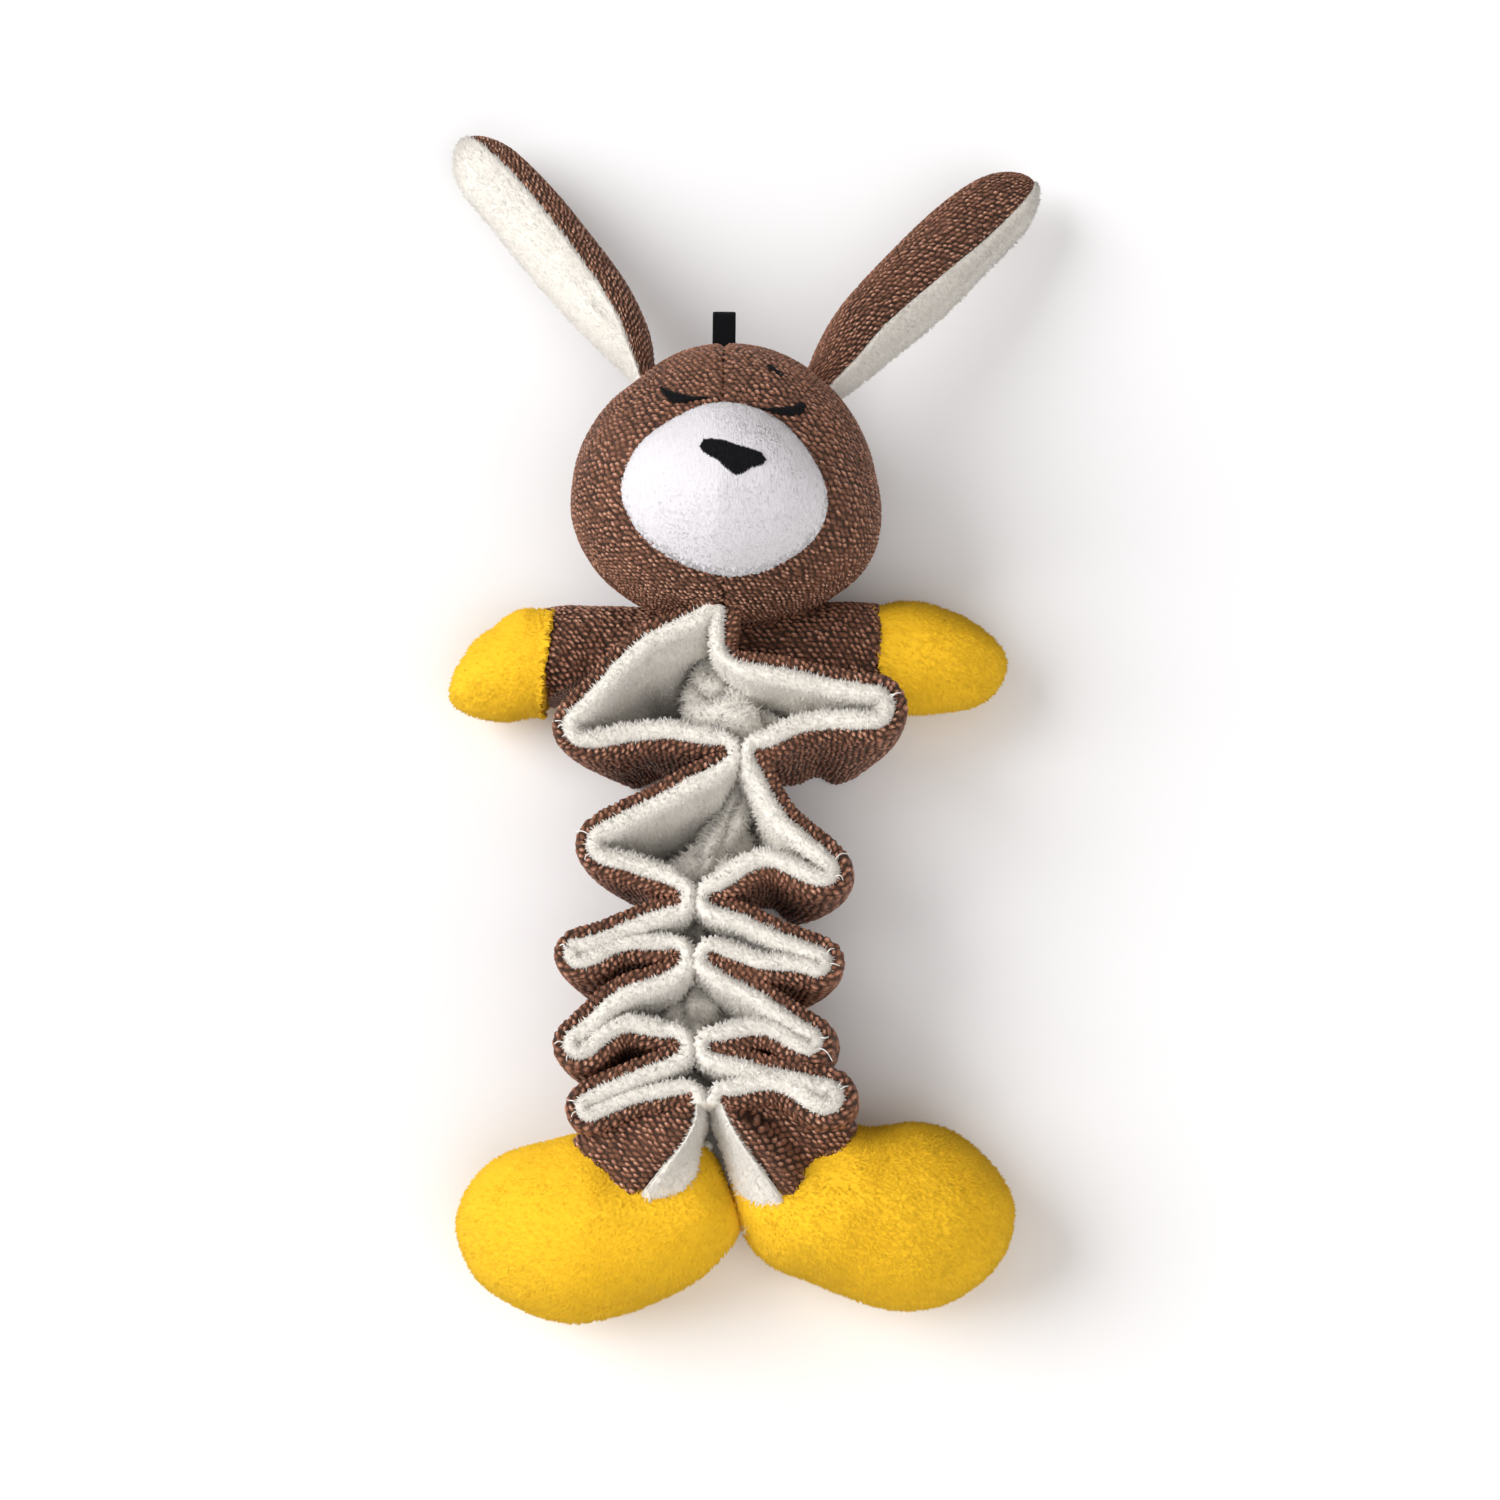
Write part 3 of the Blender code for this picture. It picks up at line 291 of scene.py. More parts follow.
class RabbitSizes(bpy.types.PropertyGroup):
    """Lengths of the toy that a user may change"""
    head_depth: length("Head depth", "Half the head's height as it lies", 47.0)
    muzzle_rise: length("Muzzle rise", "How far the muzzle stands above the head", 12.5)
    hand_depth: length("Hand depth", "Half the height of a hand", 17.0)
    foot_depth: length("Foot depth", "Half the height of a foot", 27.2)
    band_width: length("Band width", "Height of the body bands on the floor", 60.0)
    knit_thickness: length("Knit thickness", "Thickness of the knit and its fold", 4.2)
    plush_thickness: length("Plush thickness", "Thickness of the plush with its pile", 6.2)
    stitch_width: length("Stitch width", "Width of one knit stitch", 2.5)
    stitch_height: length("Stitch height", "Height of one knit row", 2.05)
    stitch_rise: length("Stitch rise", "How far a stitch stands proud", 0.90)
    knit_facet: length("Knit facet", "Spacing of the knit's mesh", 0.62)
    plush_facet: length("Plush facet", "Spacing of the tufts in plush", 0.70)
    plush_pile: length("Plush pile", "Length of the cream pile", 1.5)
    yellow_pile: length("Yellow pile", "Length of the yellow pile", 1.05)
    white_pile: length("White pile", "Length of the muzzle's pile", 0.30)
    thread_pitch: length("Thread pitch", "Distance between embroidery threads", 0.5)


class RabbitColours(bpy.types.PropertyGroup):
    """Colours of the toy's cloths and trims"""
    knit: colour("Knit", "Yarn of the knit", (0.205, 0.086, 0.051))
    # Painted shade in the gaps between the stitches
    knit_gap: colour("Knit gap", "Shade between stitches", (0.014, 0.005, 0.002))
    # Painted highlight that the knit's finish lays on some of the stitches
    knit_glint: colour("Knit glint", "Bright fibres on the yarn", (0.95, 0.64, 0.49))
    cream: colour("Cream plush", "Tips of the cream pile", (0.985, 0.955, 0.90))
    # Painted shade deep in the cream pile, at its roots
    cream_root_shade: colour("Cream root", "Roots of the cream pile", (0.95, 0.895, 0.80))
    white: colour("White plush", "Muzzle", (0.80, 0.785, 0.825))
    # Painted shade deep in the muzzle's pile, at its roots
    white_root_shade: colour("White root", "Roots of the muzzle's pile", (0.76, 0.74, 0.775))
    yellow: colour("Yellow plush", "Tips of the yellow pile", (1.0, 0.80, 0.075))
    # Painted shade deep in the yellow pile, at its roots
    yellow_root_shade: colour("Yellow root", "Roots of the yellow pile", (1.0, 0.44, 0.004))
    # Painted shade on the yellow pile where it is seen edge-on
    yellow_edge_shade: colour("Yellow edge", "Yellow pile seen along its side", (0.80, 0.26, 0.002))
    thread: colour("Black thread", "Embroidery", (0.005, 0.005, 0.006))
    webbing: colour("Webbing", "Hang loop", (0.005, 0.005, 0.006))
    tacking: colour("Tacking", "Thread ends at the folds", (0.88, 0.87, 0.84))
    filling: colour("Filling", "Fibre inside the head", (0.85, 0.85, 0.84))
    vinyl: colour("Vinyl", "Squeaker", (0.70, 0.72, 0.70))
    elastic: colour("Elastic", "Core of the cord", (0.75, 0.74, 0.70))
    floor: colour("Floor", "Studio floor", (0.97, 0.965, 0.965))


def sizes():
    """The toy's sizes as they are set now."""
    return bpy.context.scene.rabbit_sizes


def hues():
    """The toy's colours as they are set now."""
    return bpy.context.scene.rabbit_colours


# Curves and tables

def between(a, b, c, d, t):
    """Smooth step from b to c, with a before them and d behind."""
    return (b * 2 + (c - a) * t + (a * 2 - b * 5 + c * 4 - d) * t ** 2
            + (b * 3 - a - c * 3 + d) * t ** 3) * 0.5


def along(table, s):
    """Smooth curve through evenly spaced numbers or vectors, at s from 0 to 1."""
    place = min(max(s, 0.0), 1.0) * (len(table) - 1)
    i = min(int(place), len(table) - 2)
    b, c = table[i], table[i + 1]
    a = table[i - 1] if i > 0 else b + (b - c)
    d = table[i + 2] if i + 2 < len(table) else c + (c - b)
    return between(a, b, c, d, place - i)


def around(table, angle):
    """Smooth closed curve through evenly spaced numbers, by angle."""
    place = (angle / (2 * pi)) % 1.0 * len(table)
    i = int(place)
    n = len(table)
    return between(table[i - 1], table[i % n], table[(i + 1) % n], table[(i + 2) % n], place - i)


def smooth_step(t):
    """Ease from 0 to 1 while t goes from 0 to 1."""
    t = min(max(t, 0.0), 1.0)
    return t * t * (3 - 2 * t)


def frame_at(spine, s, roll=0.0):
    """Point on a spine with the directions across it, level with the floor, and up from it."""
    near = 0.01
    point = along(spine, s)
    tangent = along(spine, min(s + near, 1.0)) - along(spine, max(s - near, 0.0))
    tangent.normalize()
    across = tangent.cross(Vector((0, 0, 1))).normalized()
    up = across.cross(tangent)
    turn = Matrix.Rotation(roll, 3, tangent)
    return point, turn @ across, turn @ up


def spine_length(spine):
    """Length along a spine."""
    steps = 40
    points = [along(spine, i / steps) for i in range(steps + 1)]
    return sum((b - a).length for a, b in zip(points, points[1:]))


# Cloth

def stitch(u, v):
    """Height from 0 to 1 of a knit surface, rows of uneven stitches each half a stitch along."""
    s = sizes()
    v /= s.stitch_height
    row = floor(v)
    u = u / s.stitch_width + (row % 2) * 0.5
    column = floor(u)
    key = (column * KEY_BY_COLUMN + row * KEY_BY_ROW) % 1.0 + KEY_START
    key *= key
    x = u - column - 0.5 + ((key * STRAY_KEY_X) % 1.0 - 0.5) * STRAY_X
    y = v - row - 0.5 + STITCH_SLANT * x + ((key * STRAY_KEY_Y) % 1.0 - 0.5) * STRAY_Y
    return sqrt(max(0.0, 1.0 - (SQUEEZE_X * x) ** 2 - (SQUEEZE_Y * y) ** 2))


def ball(cuts):
    """Unit ball of even quads."""
    bm = bmesh.new()
    bmesh.ops.create_cube(bm, size=2)
    bmesh.ops.subdivide_edges(bm, edges=bm.edges[:], cuts=cuts, use_grid_fill=True)
    for vertex in bm.verts:
        vertex.co = Vector([tan(value * pi / 4) for value in vertex.co]).normalized()
    return with_layers(bm)


def with_layers(bm):
    """Give a mesh the layers for its cloth position, its tips and what shows."""
    bm.verts.layers.float_vector.new("cloth")
    bm.verts.layers.float.new("tip")
    bm.verts.layers.float.new("show")
    return bm


def tube(n, m, place):
    """Closed tube from a grid of n by m facets, where place gives each corner's point, cloth
    position and whether it shows."""
    bm = with_layers(bmesh.new())
    bmesh.ops.create_grid(bm, x_segments=n, y_segments=m, size=0.5)
    cloth = bm.verts.layers.float_vector["cloth"]
    show = bm.verts.layers.float["show"]
    for vertex in bm.verts:
        i = round((vertex.co.x + 0.5) * n)
        j = round((vertex.co.y + 0.5) * m)
        point, laid, shown = place(i, j % m)
        vertex.co = point
        vertex[cloth] = (laid[0], laid[1], 0.0)
        vertex[show] = 1.0 if shown else 0.0
    rim = [v for v in bm.verts if v.is_boundary]
    bmesh.ops.remove_doubles(bm, verts=rim, dist=0.001 * MM)
    rim = [e for e in bm.edges if e.is_boundary]
    if rim:
        bmesh.ops.edgeloop_fill(bm, edges=rim)
    face_outwards(bm)
    return bm


def add_tube(bm, n, m, place):
    """Add a closed tube to a mesh that holds several."""
    one = tube(n, m, place)
    mesh = bpy.data.meshes.new("strand")
    one.to_mesh(mesh)
    one.free()
    bm.from_mesh(mesh)
    bpy.data.meshes.remove(mesh)


def face_outwards(bm):
    """Turn every face of a closed mesh outwards."""
    bmesh.ops.recalc_face_normals(bm, faces=bm.faces)
    if bm.calc_volume(signed=True) < 0:
        bmesh.ops.reverse_faces(bm, faces=bm.faces)
    bm.normal_update()


def raise_stitches(bm):
    """Raise the knit's stitches out of every part that shows."""
    cloth = bm.verts.layers.float_vector["cloth"]
    noise.seed_set(DRIFT_SEED)
    show = bm.verts.layers.float["show"]
    tip = bm.verts.layers.float["tip"]
    rise = sizes().stitch_rise
    for vertex in bm.verts:
        drift = Vector()
        for scale, reach in row_drifts:
            drift += noise.noise_vector(vertex.co * scale) * reach * MM
        vertex[cloth] = vertex[cloth] + drift
        if vertex[show] > 0.5:
            height = stitch(vertex[cloth].x, vertex[cloth].y)
            vertex[tip] = height
            vertex.co += vertex.normal * rise * (height - STITCH_LEVEL)


def raise_pile(bm, pile, nap, spread=0.45, seed=1):
    """Raise a leaning tuft out of every facet that shows, most of them short and a few long."""
    show = bm.verts.layers.float["show"]
    tip = bm.verts.layers.float["tip"]
    chance = random.Random(seed)
    jitter = 0.34
    shortest, longer, rarity = 0.35, 1.55, 2.4
    upright, lying = 0.85, 0.8
    for vertex in bm.verts:
        if vertex[show] > 0.5 and vertex.link_edges:
            reach = min(edge.calc_length() for edge in vertex.link_edges) * jitter
            shift = Vector([chance.uniform(-1, 1) for _ in range(3)])
            vertex.co += (shift - vertex.normal * shift.dot(vertex.normal)) * reach
    faces = [f for f in bm.faces if len(f.verts) == 4 and all(v[show] > 0.5 for v in f.verts)]
    raised = bmesh.ops.poke(bm, faces=faces, offset=0.0, center_mode="MEAN")
    bm.normal_update()
    for vertex in raised["verts"]:
        normal = vertex.normal.copy()
        lean = nap(vertex.co) if callable(nap) else nap
        lean = lean + Vector([chance.uniform(-spread, spread) for _ in range(3)])
        lean -= normal * lean.dot(normal)
        size = pile * (shortest + longer * chance.random() ** rarity)
        vertex.co += (normal * upright + lean * lying) * size
        vertex[tip] = chance.uniform(0.6, 1.0)


def dressed(name, bm, finish, body=None):
    """A piece of the toy from its mesh, with its finish and its body."""
    bm.verts.layers.float.remove(bm.verts.layers.float["show"])
    for face in bm.faces:
        face.smooth = True
    for vertex in bm.verts:
        vertex.co.z = max(vertex.co.z, FLOOR_GAP * MM)
    mesh = bpy.data.meshes.new(name)
    bm.to_mesh(mesh)
    bm.free()
    item = bpy.data.objects.new(name, mesh)
    bpy.context.scene.collection.objects.link(item)
    mesh.materials.append(FINISHES[finish]())
    # The record has no slot for the white tacking thread
    if body:
        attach(item, body)
    return item


# Materials

class Nodes:
    """One material's nodes, added and joined in the order that they are read."""

    def __init__(self, name):
        self.material = bpy.data.materials.new(name)
        self.material.use_nodes = True
        self.tree = self.material.node_tree
        self.shader = self.tree.nodes["Principled BSDF"]

    def add(self, kind, inputs=(), **settings):
        node = self.tree.nodes.new(kind)
        for key, value in settings.items():
            setattr(node, key, value)
        for key, value in dict(inputs).items():
            self.feed(value, node.inputs[key])
        return node

    def feed(self, value, socket):
        if isinstance(value, bpy.types.NodeSocket):
            self.tree.links.new(value, socket)
        else:
            socket.default_value = value

    def math(self, operation, a, b=0.0, c=0.0, clamp=False):
        node = self.add("ShaderNodeMath", operation=operation, use_clamp=clamp)
        for value, socket in zip((a, b, c), node.inputs):
            self.feed(value, socket)
        return node.outputs[0]

    def attribute(self, name):
        return self.add("ShaderNodeAttribute", attribute_name=name)

    def noise(self, scale, detail=2.0, vector=None, roughness=0.5):
        if vector is None:
            vector = self.add("ShaderNodeTexCoord").outputs["Object"]
        node = self.add("ShaderNodeTexNoise",
                        {"Vector": vector, "Scale": scale, "Detail": detail,
                         "Roughness": roughness})
        return node.outputs["Fac"]

    def mix(self, amount, a, b):
        node = self.add("ShaderNodeMix", data_type="RGBA")
        self.feed(amount, node.inputs["Factor"])
        self.feed(a, node.inputs["A"])
        self.feed(b, node.inputs["B"])
        return node.outputs["Result"]

    def spread(self, value, low, high, out_low=0.0, out_high=1.0):
        node = self.add("ShaderNodeMapRange", {
            "Value": value, "From Min": low, "From Max": high,
            "To Min": out_low, "To Max": out_high,
        }, interpolation_type="SMOOTHSTEP")
        return node.outputs["Result"]

    def bump(self, height, distance, strength=1.0, normal=None):
        inputs = {"Height": height, "Distance": distance, "Strength": strength}
        if normal is not None:
            inputs["Normal"] = normal
        return self.add("ShaderNodeBump", inputs).outputs["Normal"]

    def surface(self, **inputs):
        for key, value in inputs.items():
            self.feed(value, self.shader.inputs[key.replace("_", " ")])
        return self.material


def rgba(value, share=1.0):
    """A colour, lightened or darkened, with its alpha."""
    return tuple(min(part * share, 1.0) for part in value) + (1.0,)


def once(name, make):
    """The material of this name, made the first time that it is asked for."""
    def find():
        found = bpy.data.materials.get(name)
        return found if found is not None else make(name)
    return find


def knit_finish(name):
    """Brown boucle knit, with painted shade in the gaps between stitches and painted highlights on the
    stitches.
    """
    n = Nodes(name)
    s = sizes()
    laid = n.add("ShaderNodeSeparateXYZ", {"Vector": n.attribute("cloth").outputs["Vector"]})
    v = n.math("DIVIDE", laid.outputs["Y"], s.stitch_height)
    row = n.math("FLOOR", v)
    shift = n.math("FRACT", n.math("MULTIPLY", row, 0.5))
    u = n.math("ADD", n.math("DIVIDE", laid.outputs["X"], s.stitch_width), shift)
    column = n.math("FLOOR", u)
    key = n.math("ADD", n.math("MULTIPLY", column, KEY_BY_COLUMN),
                 n.math("MULTIPLY", row, KEY_BY_ROW))
    key = n.math("ADD", n.math("FRACT", key), KEY_START)
    key = n.math("MULTIPLY", key, key)
    x_shift = n.math("SUBTRACT", n.math("FRACT", n.math("MULTIPLY", key, STRAY_KEY_X)), 0.5)
    y_shift = n.math("SUBTRACT", n.math("FRACT", n.math("MULTIPLY", key, STRAY_KEY_Y)), 0.5)
    x = n.math("SUBTRACT", n.math("FRACT", u), 0.5)
    x = n.math("ADD", x, n.math("MULTIPLY", x_shift, STRAY_X))
    y = n.math("SUBTRACT", n.math("FRACT", v), 0.5)
    y = n.math("ADD", y, n.math("MULTIPLY", x, STITCH_SLANT))
    y = n.math("ADD", y, n.math("MULTIPLY", y_shift, STRAY_Y))
    cell = n.add("ShaderNodeCombineXYZ", {"X": column, "Y": row}).outputs["Vector"]
    chance = n.add("ShaderNodeTexWhiteNoise", {"Vector": cell}, noise_dimensions="3D")
    chance = chance.outputs["Value"]
    fibre = n.noise(2600.0, 3.0)
    wide = n.math("POWER", n.math("MULTIPLY", x, SQUEEZE_X), 2.0)
    tall = n.math("POWER", n.math("MULTIPLY", y, SQUEEZE_Y), 2.0)
    dome = n.math("SQRT", n.math("SUBTRACT", 1.0, n.math("ADD", wide, tall), clamp=True))
    loft = n.math("ADD", dome, n.math("MULTIPLY", n.math("SUBTRACT", fibre, 0.5), 0.5))
    hue = hues()
    # Painted shade where each stitch sinks into its gap
    tone = n.mix(n.spread(loft, 0.16, 0.72), rgba(hue.knit_gap), rgba(hue.knit))
    # Painted highlight on the crowns of the stitches, stronger on some stitches than others at random
    bright = n.math("MULTIPLY", n.spread(loft, 0.70, 1.10), n.spread(chance, 1.0, 0.1, 0.15, 0.9))
    tone = n.mix(bright, tone, rgba(hue.knit, 2.6))
    deep = n.math("MULTIPLY", n.spread(chance, 0.25, 1.0), 0.5)
    tone = n.mix(deep, tone, rgba(hue.knit, 0.40))
    # Painted glint: a small highlight at the upper left of some stitches, where light would catch them
    off_x = n.math("POWER", n.math("MULTIPLY", n.math("ADD", x, 0.10), 3.4), 2.0)
    off_y = n.math("POWER", n.math("MULTIPLY", n.math("SUBTRACT", y, 0.10), 5.0), 2.0)
    glint = n.math("SUBTRACT", 1.0, n.math("ADD", off_x, off_y), clamp=True)
    some = n.spread(chance, 0.75, 0.15)
    lit = n.math("MULTIPLY", some, n.spread(n.noise(4200.0, 2.0), 0.40, 0.62))
    glint = n.math("MULTIPLY", n.math("POWER", glint, 0.6), lit)
    tone = n.mix(glint, tone, rgba(hue.knit_glint))
    worn = n.noise(55.0, 3.0)
    tone = n.mix(n.spread(worn, 0.45, 0.75, 0.0, 0.22), tone, rgba(hue.knit, 1.7))
    normal = n.bump(loft, s.stitch_rise, 1.0)
    return n.surface(
        Base_Color=tone, Roughness=0.52, Normal=normal, Sheen_Weight=0.09, Sheen_Roughness=0.35,
        Sheen_Tint=(0.95, 0.62, 0.48, 1.0), Specular_IOR_Level=0.40,
        Specular_Tint=(1.0, 0.78, 0.66, 1.0),
    )


def pile_finish(tip_hue, root_shade_hue, sheen, stroke=(1300.0, 380.0, 900.0), mottle=0.12,
                grain_share=0.25, relief=0.5, fuzz=(1.0, 0.97, 0.91), edge_shade_hue=None):
    """A finish of short pile, with painted shade at its roots and brushed strokes."""
    def make(name):
        n = Nodes(name)
        hue = hues()
        tips = n.attribute("tip").outputs["Fac"]
        place = n.add("ShaderNodeTexCoord").outputs["Object"]
        turned = n.add("ShaderNodeMapping", {
            "Vector": place, "Rotation": (0.0, 0.0, radians(24.0)), "Scale": stroke,
        }).outputs["Vector"]
        fine = n.noise(1.0, 3.0, turned, 0.6)
        broad = n.noise(38.0, 2.0)
        grain = n.noise(3600.0, 2.0)
        # Painted shade: the pile is darker at its roots than at its tips, broken up by random strokes
        lift = n.math("ADD", n.math("MULTIPLY", tips, 0.28), fine)
        tone = n.mix(n.spread(lift, 0.34, 0.84), rgba(getattr(hue, root_shade_hue)),
                     rgba(getattr(hue, tip_hue)))
        shade = rgba(getattr(hue, root_shade_hue), 0.9)
        tone = n.mix(n.spread(broad, 0.42, 0.72, 0.0, mottle), tone, shade)
        tone = n.mix(n.spread(grain, 0.42, 0.70, 0.0, grain_share), tone, shade)
        if edge_shade_hue:
            # Painted shade: pile seen edge-on darkens to a deeper orange
            side = n.add("ShaderNodeLayerWeight", {"Blend": 0.35}).outputs["Facing"]
            tone = n.mix(n.spread(side, 0.25, 0.95, 0.0, 0.55), tone,
                         rgba(getattr(hue, edge_shade_hue)))
        height = n.math("ADD", fine, n.math("MULTIPLY", grain, 0.5))
        normal = n.bump(height, 0.7 * MM, relief)
        return n.surface(
            Base_Color=tone, Roughness=0.85, Normal=normal, Sheen_Weight=sheen,
            Sheen_Roughness=0.5, Sheen_Tint=fuzz + (1.0,), Specular_IOR_Level=0.15,
        )
    return make


def thread_finish(name):
    """Matt embroidery thread."""
    n = Nodes(name)
    hue = hues()
    strand = n.noise(1600.0, 2.0)
    fuzz = n.noise(5200.0, 2.0)
    tone = n.mix(n.spread(strand, 0.35, 0.75), rgba(hue.thread, 0.6), rgba(hue.thread, 2.2))
    normal = n.bump(n.math("ADD", strand, fuzz), 0.12 * MM, 0.6)
    return n.surface(Base_Color=tone, Roughness=0.8, Normal=normal, Sheen_Weight=0.02,
                     Specular_IOR_Level=0.08)


def webbing_finish(name):
    """Black ribbed webbing."""
    n = Nodes(name)
    hue = hues()
    laid = n.add("ShaderNodeSeparateXYZ", {"Vector": n.attribute("cloth").outputs["Vector"]})
    ribs = n.math("SINE", n.math("MULTIPLY", laid.outputs["X"], 2 * pi / (0.45 * MM)))
    weft = n.math("SINE", n.math("MULTIPLY", laid.outputs["Y"], 2 * pi / (0.8 * MM)))
    weave = n.math("ADD", n.math("MULTIPLY", ribs, weft), n.noise(2400.0))
    tone = n.mix(n.spread(weave, -0.8, 1.6), rgba(hue.webbing, 0.4), rgba(hue.webbing, 1.5))
    normal = n.bump(weave, 0.08 * MM, 0.7)
    return n.surface(Base_Color=tone, Roughness=0.7, Normal=normal, Specular_IOR_Level=0.04)


def plain_finish(hue_name, roughness, scale, distance, specular=0.4):
    """A finish of one colour with a fine grain."""
    def make(name):
        n = Nodes(name)
        hue = getattr(hues(), hue_name)
        grain = n.noise(scale, 3.0)
        tone = n.mix(n.spread(grain, 0.35, 0.7), rgba(hue, 0.86), rgba(hue))
        normal = n.bump(grain, distance * MM, 0.6)
        return n.surface(Base_Color=tone, Roughness=roughness, Normal=normal,
                         Specular_IOR_Level=specular)
    return make


FINISHES = {
    "knit": once("brown_knit", knit_finish),
    "plush": once("cream_plush", pile_finish("cream", "cream_root_shade", 0.65)),
    "white_plush": once("white_muzzle_plush", pile_finish(
        "white", "white_root_shade", 0.25, (1500.0, 260.0, 900.0), 0.05, 0.12, 0.6, (1.0, 1.0, 1.0))),
    "yellow_plush": once("yellow_plush", pile_finish(
        "yellow", "yellow_root_shade", 0.60, (1700.0, 300.0, 1100.0), 0.22, 0.10, 0.6,
        (1.0, 0.84, 0.38), "yellow_edge_shade")),
    "black_thread": once("black_embroidery", thread_finish),
    "white_thread": once("white_tacking", plain_finish("tacking", 0.6, 2500.0, 0.05, 0.3)),
    "webbing": once("black_webbing", webbing_finish),
    "filling": once("white_filling", plain_finish("filling", 0.95, 300.0, 0.8, 0.1)),
    "vinyl": once("clear_vinyl", plain_finish("vinyl", 0.35, 500.0, 0.05)),
    "elastic": once("woven_elastic", plain_finish("elastic", 0.8, 1800.0, 0.1, 0.2)),
}


# Head

def head_spot(direction):
    """Point on the head's cloth in a direction from its middle."""
    flat = hypot(direction.x, direction.y)
    angle = atan2(direction.y, direction.x)
    power = HEAD_ROUNDNESS
    full = (flat ** power + abs(direction.z) ** power) ** (-1 / power)
    reach = around(head_outline, angle) * MM * flat * full
    depth = sizes().head_depth * direction.z * full
    return Vector((
        HEAD_MIDDLE[0] * MM + reach * cos(angle), HEAD_MIDDLE[1] * MM + reach * sin(angle),
        max(HEAD_MIDDLE[2] * MM + depth, 0.5 * MM),
    ))


def head_height(x, y):
    """Height of the head's cloth above a point of the floor."""
    x -= HEAD_MIDDLE[0] * MM
    y -= HEAD_MIDDLE[1] * MM
    share = hypot(x, y) / (around(head_outline, atan2(y, x)) * MM)
    rise = max(0.0, 1 - share ** HEAD_ROUNDNESS) ** (1 / HEAD_ROUNDNESS)
    return HEAD_MIDDLE[2] * MM + sizes().head_depth * rise


def muzzle_height(x, y):
    """Height of the muzzle above a point of the floor, with the soft keel below the nose."""
    across = x - MUZZLE_MIDDLE[0] * MM
    up = y - MUZZLE_MIDDLE[1] * MM
    share = hypot(across, up) / (around(muzzle_outline, atan2(up, across)) * MM)
    rise = sizes().muzzle_rise * max(0.0, 1 - share ** 2.3) ** 0.62
    low = min(max(-up / (26 * MM), 0.0), 1.0)
    keel = across + (0.8 + 2.6 * low) * MM
    fold = 2.0 * MM * exp(-hypot(keel, 1.1 * MM) / (7 * MM)) * smooth_step((low + 0.02) * 4)
    fold *= max(0.0, 1 - share) ** 0.5
    return head_height(x, y) - 0.3 * MM + rise + fold


def seam_dip(away, depth, half_width):
    """How far the cloth sinks at a distance from a seam."""
    return depth * exp(-(away / half_width) ** 2)


def head_shell(keep, thickness):
    """Shell of the head where keep accepts a direction, with a fine outside and a plain inside."""
    bm = ball(15)
    unwanted = [f for f in bm.faces if not keep(f.calc_center_median().normalized())]
    bmesh.ops.delete(bm, geom=unwanted, context="FACES")
    inner = set(bm.verts)
    for vertex in inner:
        vertex.co = vertex.co * (1 - thickness)
    doubled = bmesh.ops.extrude_face_region(bm, geom=bm.faces[:], use_keep_orig=True)
    outer = [item for item in doubled["geom"] if isinstance(item, bmesh.types.BMVert)]
    for vertex in outer:
        vertex.co = vertex.co / (1 - thickness)
    chosen = set(outer)
    edges = [e for e in bm.edges if e.verts[0] in chosen and e.verts[1] in chosen]
    bmesh.ops.subdivide_edges(bm, edges=edges, cuts=6, use_grid_fill=True)
    return bm


def build_head():
    """Three knit panels, sunk a little where they are sewn together."""
    seams = {
        "left": lambda d: d.x < 0 and d.z > 0,
        "right": lambda d: d.x > 0 and d.z > 0,
        "back": lambda d: d.z < 0,
    }
    nodes = {"left": "head_panel_left", "right": "head_panel_right", "back": "head_back_panel"}
    wall = 0.045
    middle = Vector(HEAD_MIDDLE) * MM
    for label, keep in seams.items():
        bm = head_shell(keep, wall)
        cloth = bm.verts.layers.float_vector["cloth"]
        show = bm.verts.layers.float["show"]
        for vertex in bm.verts:
            outside = vertex.co.length > 1 - wall / 2
            way = vertex.co.normalized()
            from_side = way.z
            way.z += BACK_SEAM * (1 - way.z * way.z)
            way.normalize()
            angle = atan2(way.y, way.x)
            turn = acos(min(max(abs(way.z) if label == "back" else way.z, -1.0), 1.0))
            spot = head_spot(way)
            if outside:
                sink = seam_dip(abs(from_side) * HEAD_REACH, *side_seam)
                if label != "back":
                    sink = max(sink, seam_dip(abs(way.x) * FRONT_REACH, *front_seam))
                soft = noise.noise(spot * 55) * 0.8 + noise.noise(spot * 22) * 1.0
                spot += (spot - middle).normalized() * (soft - sink) * MM
            else:
                spot = middle + (spot - middle) * (1 - wall)
            spot.z = max(spot.z, (0.3 if outside else 2.0) * MM)
            vertex.co = spot
            reach = turn * HEAD_REACH * MM
            vertex[cloth] = (reach * cos(angle), reach * sin(angle), 0.0)
            vertex[show] = 1.0 if outside else 0.0
        face_outwards(bm)
        raise_stitches(bm)
        item = dressed(f"head_cloth_{label}", bm, "knit", "head")
        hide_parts(nodes[label])


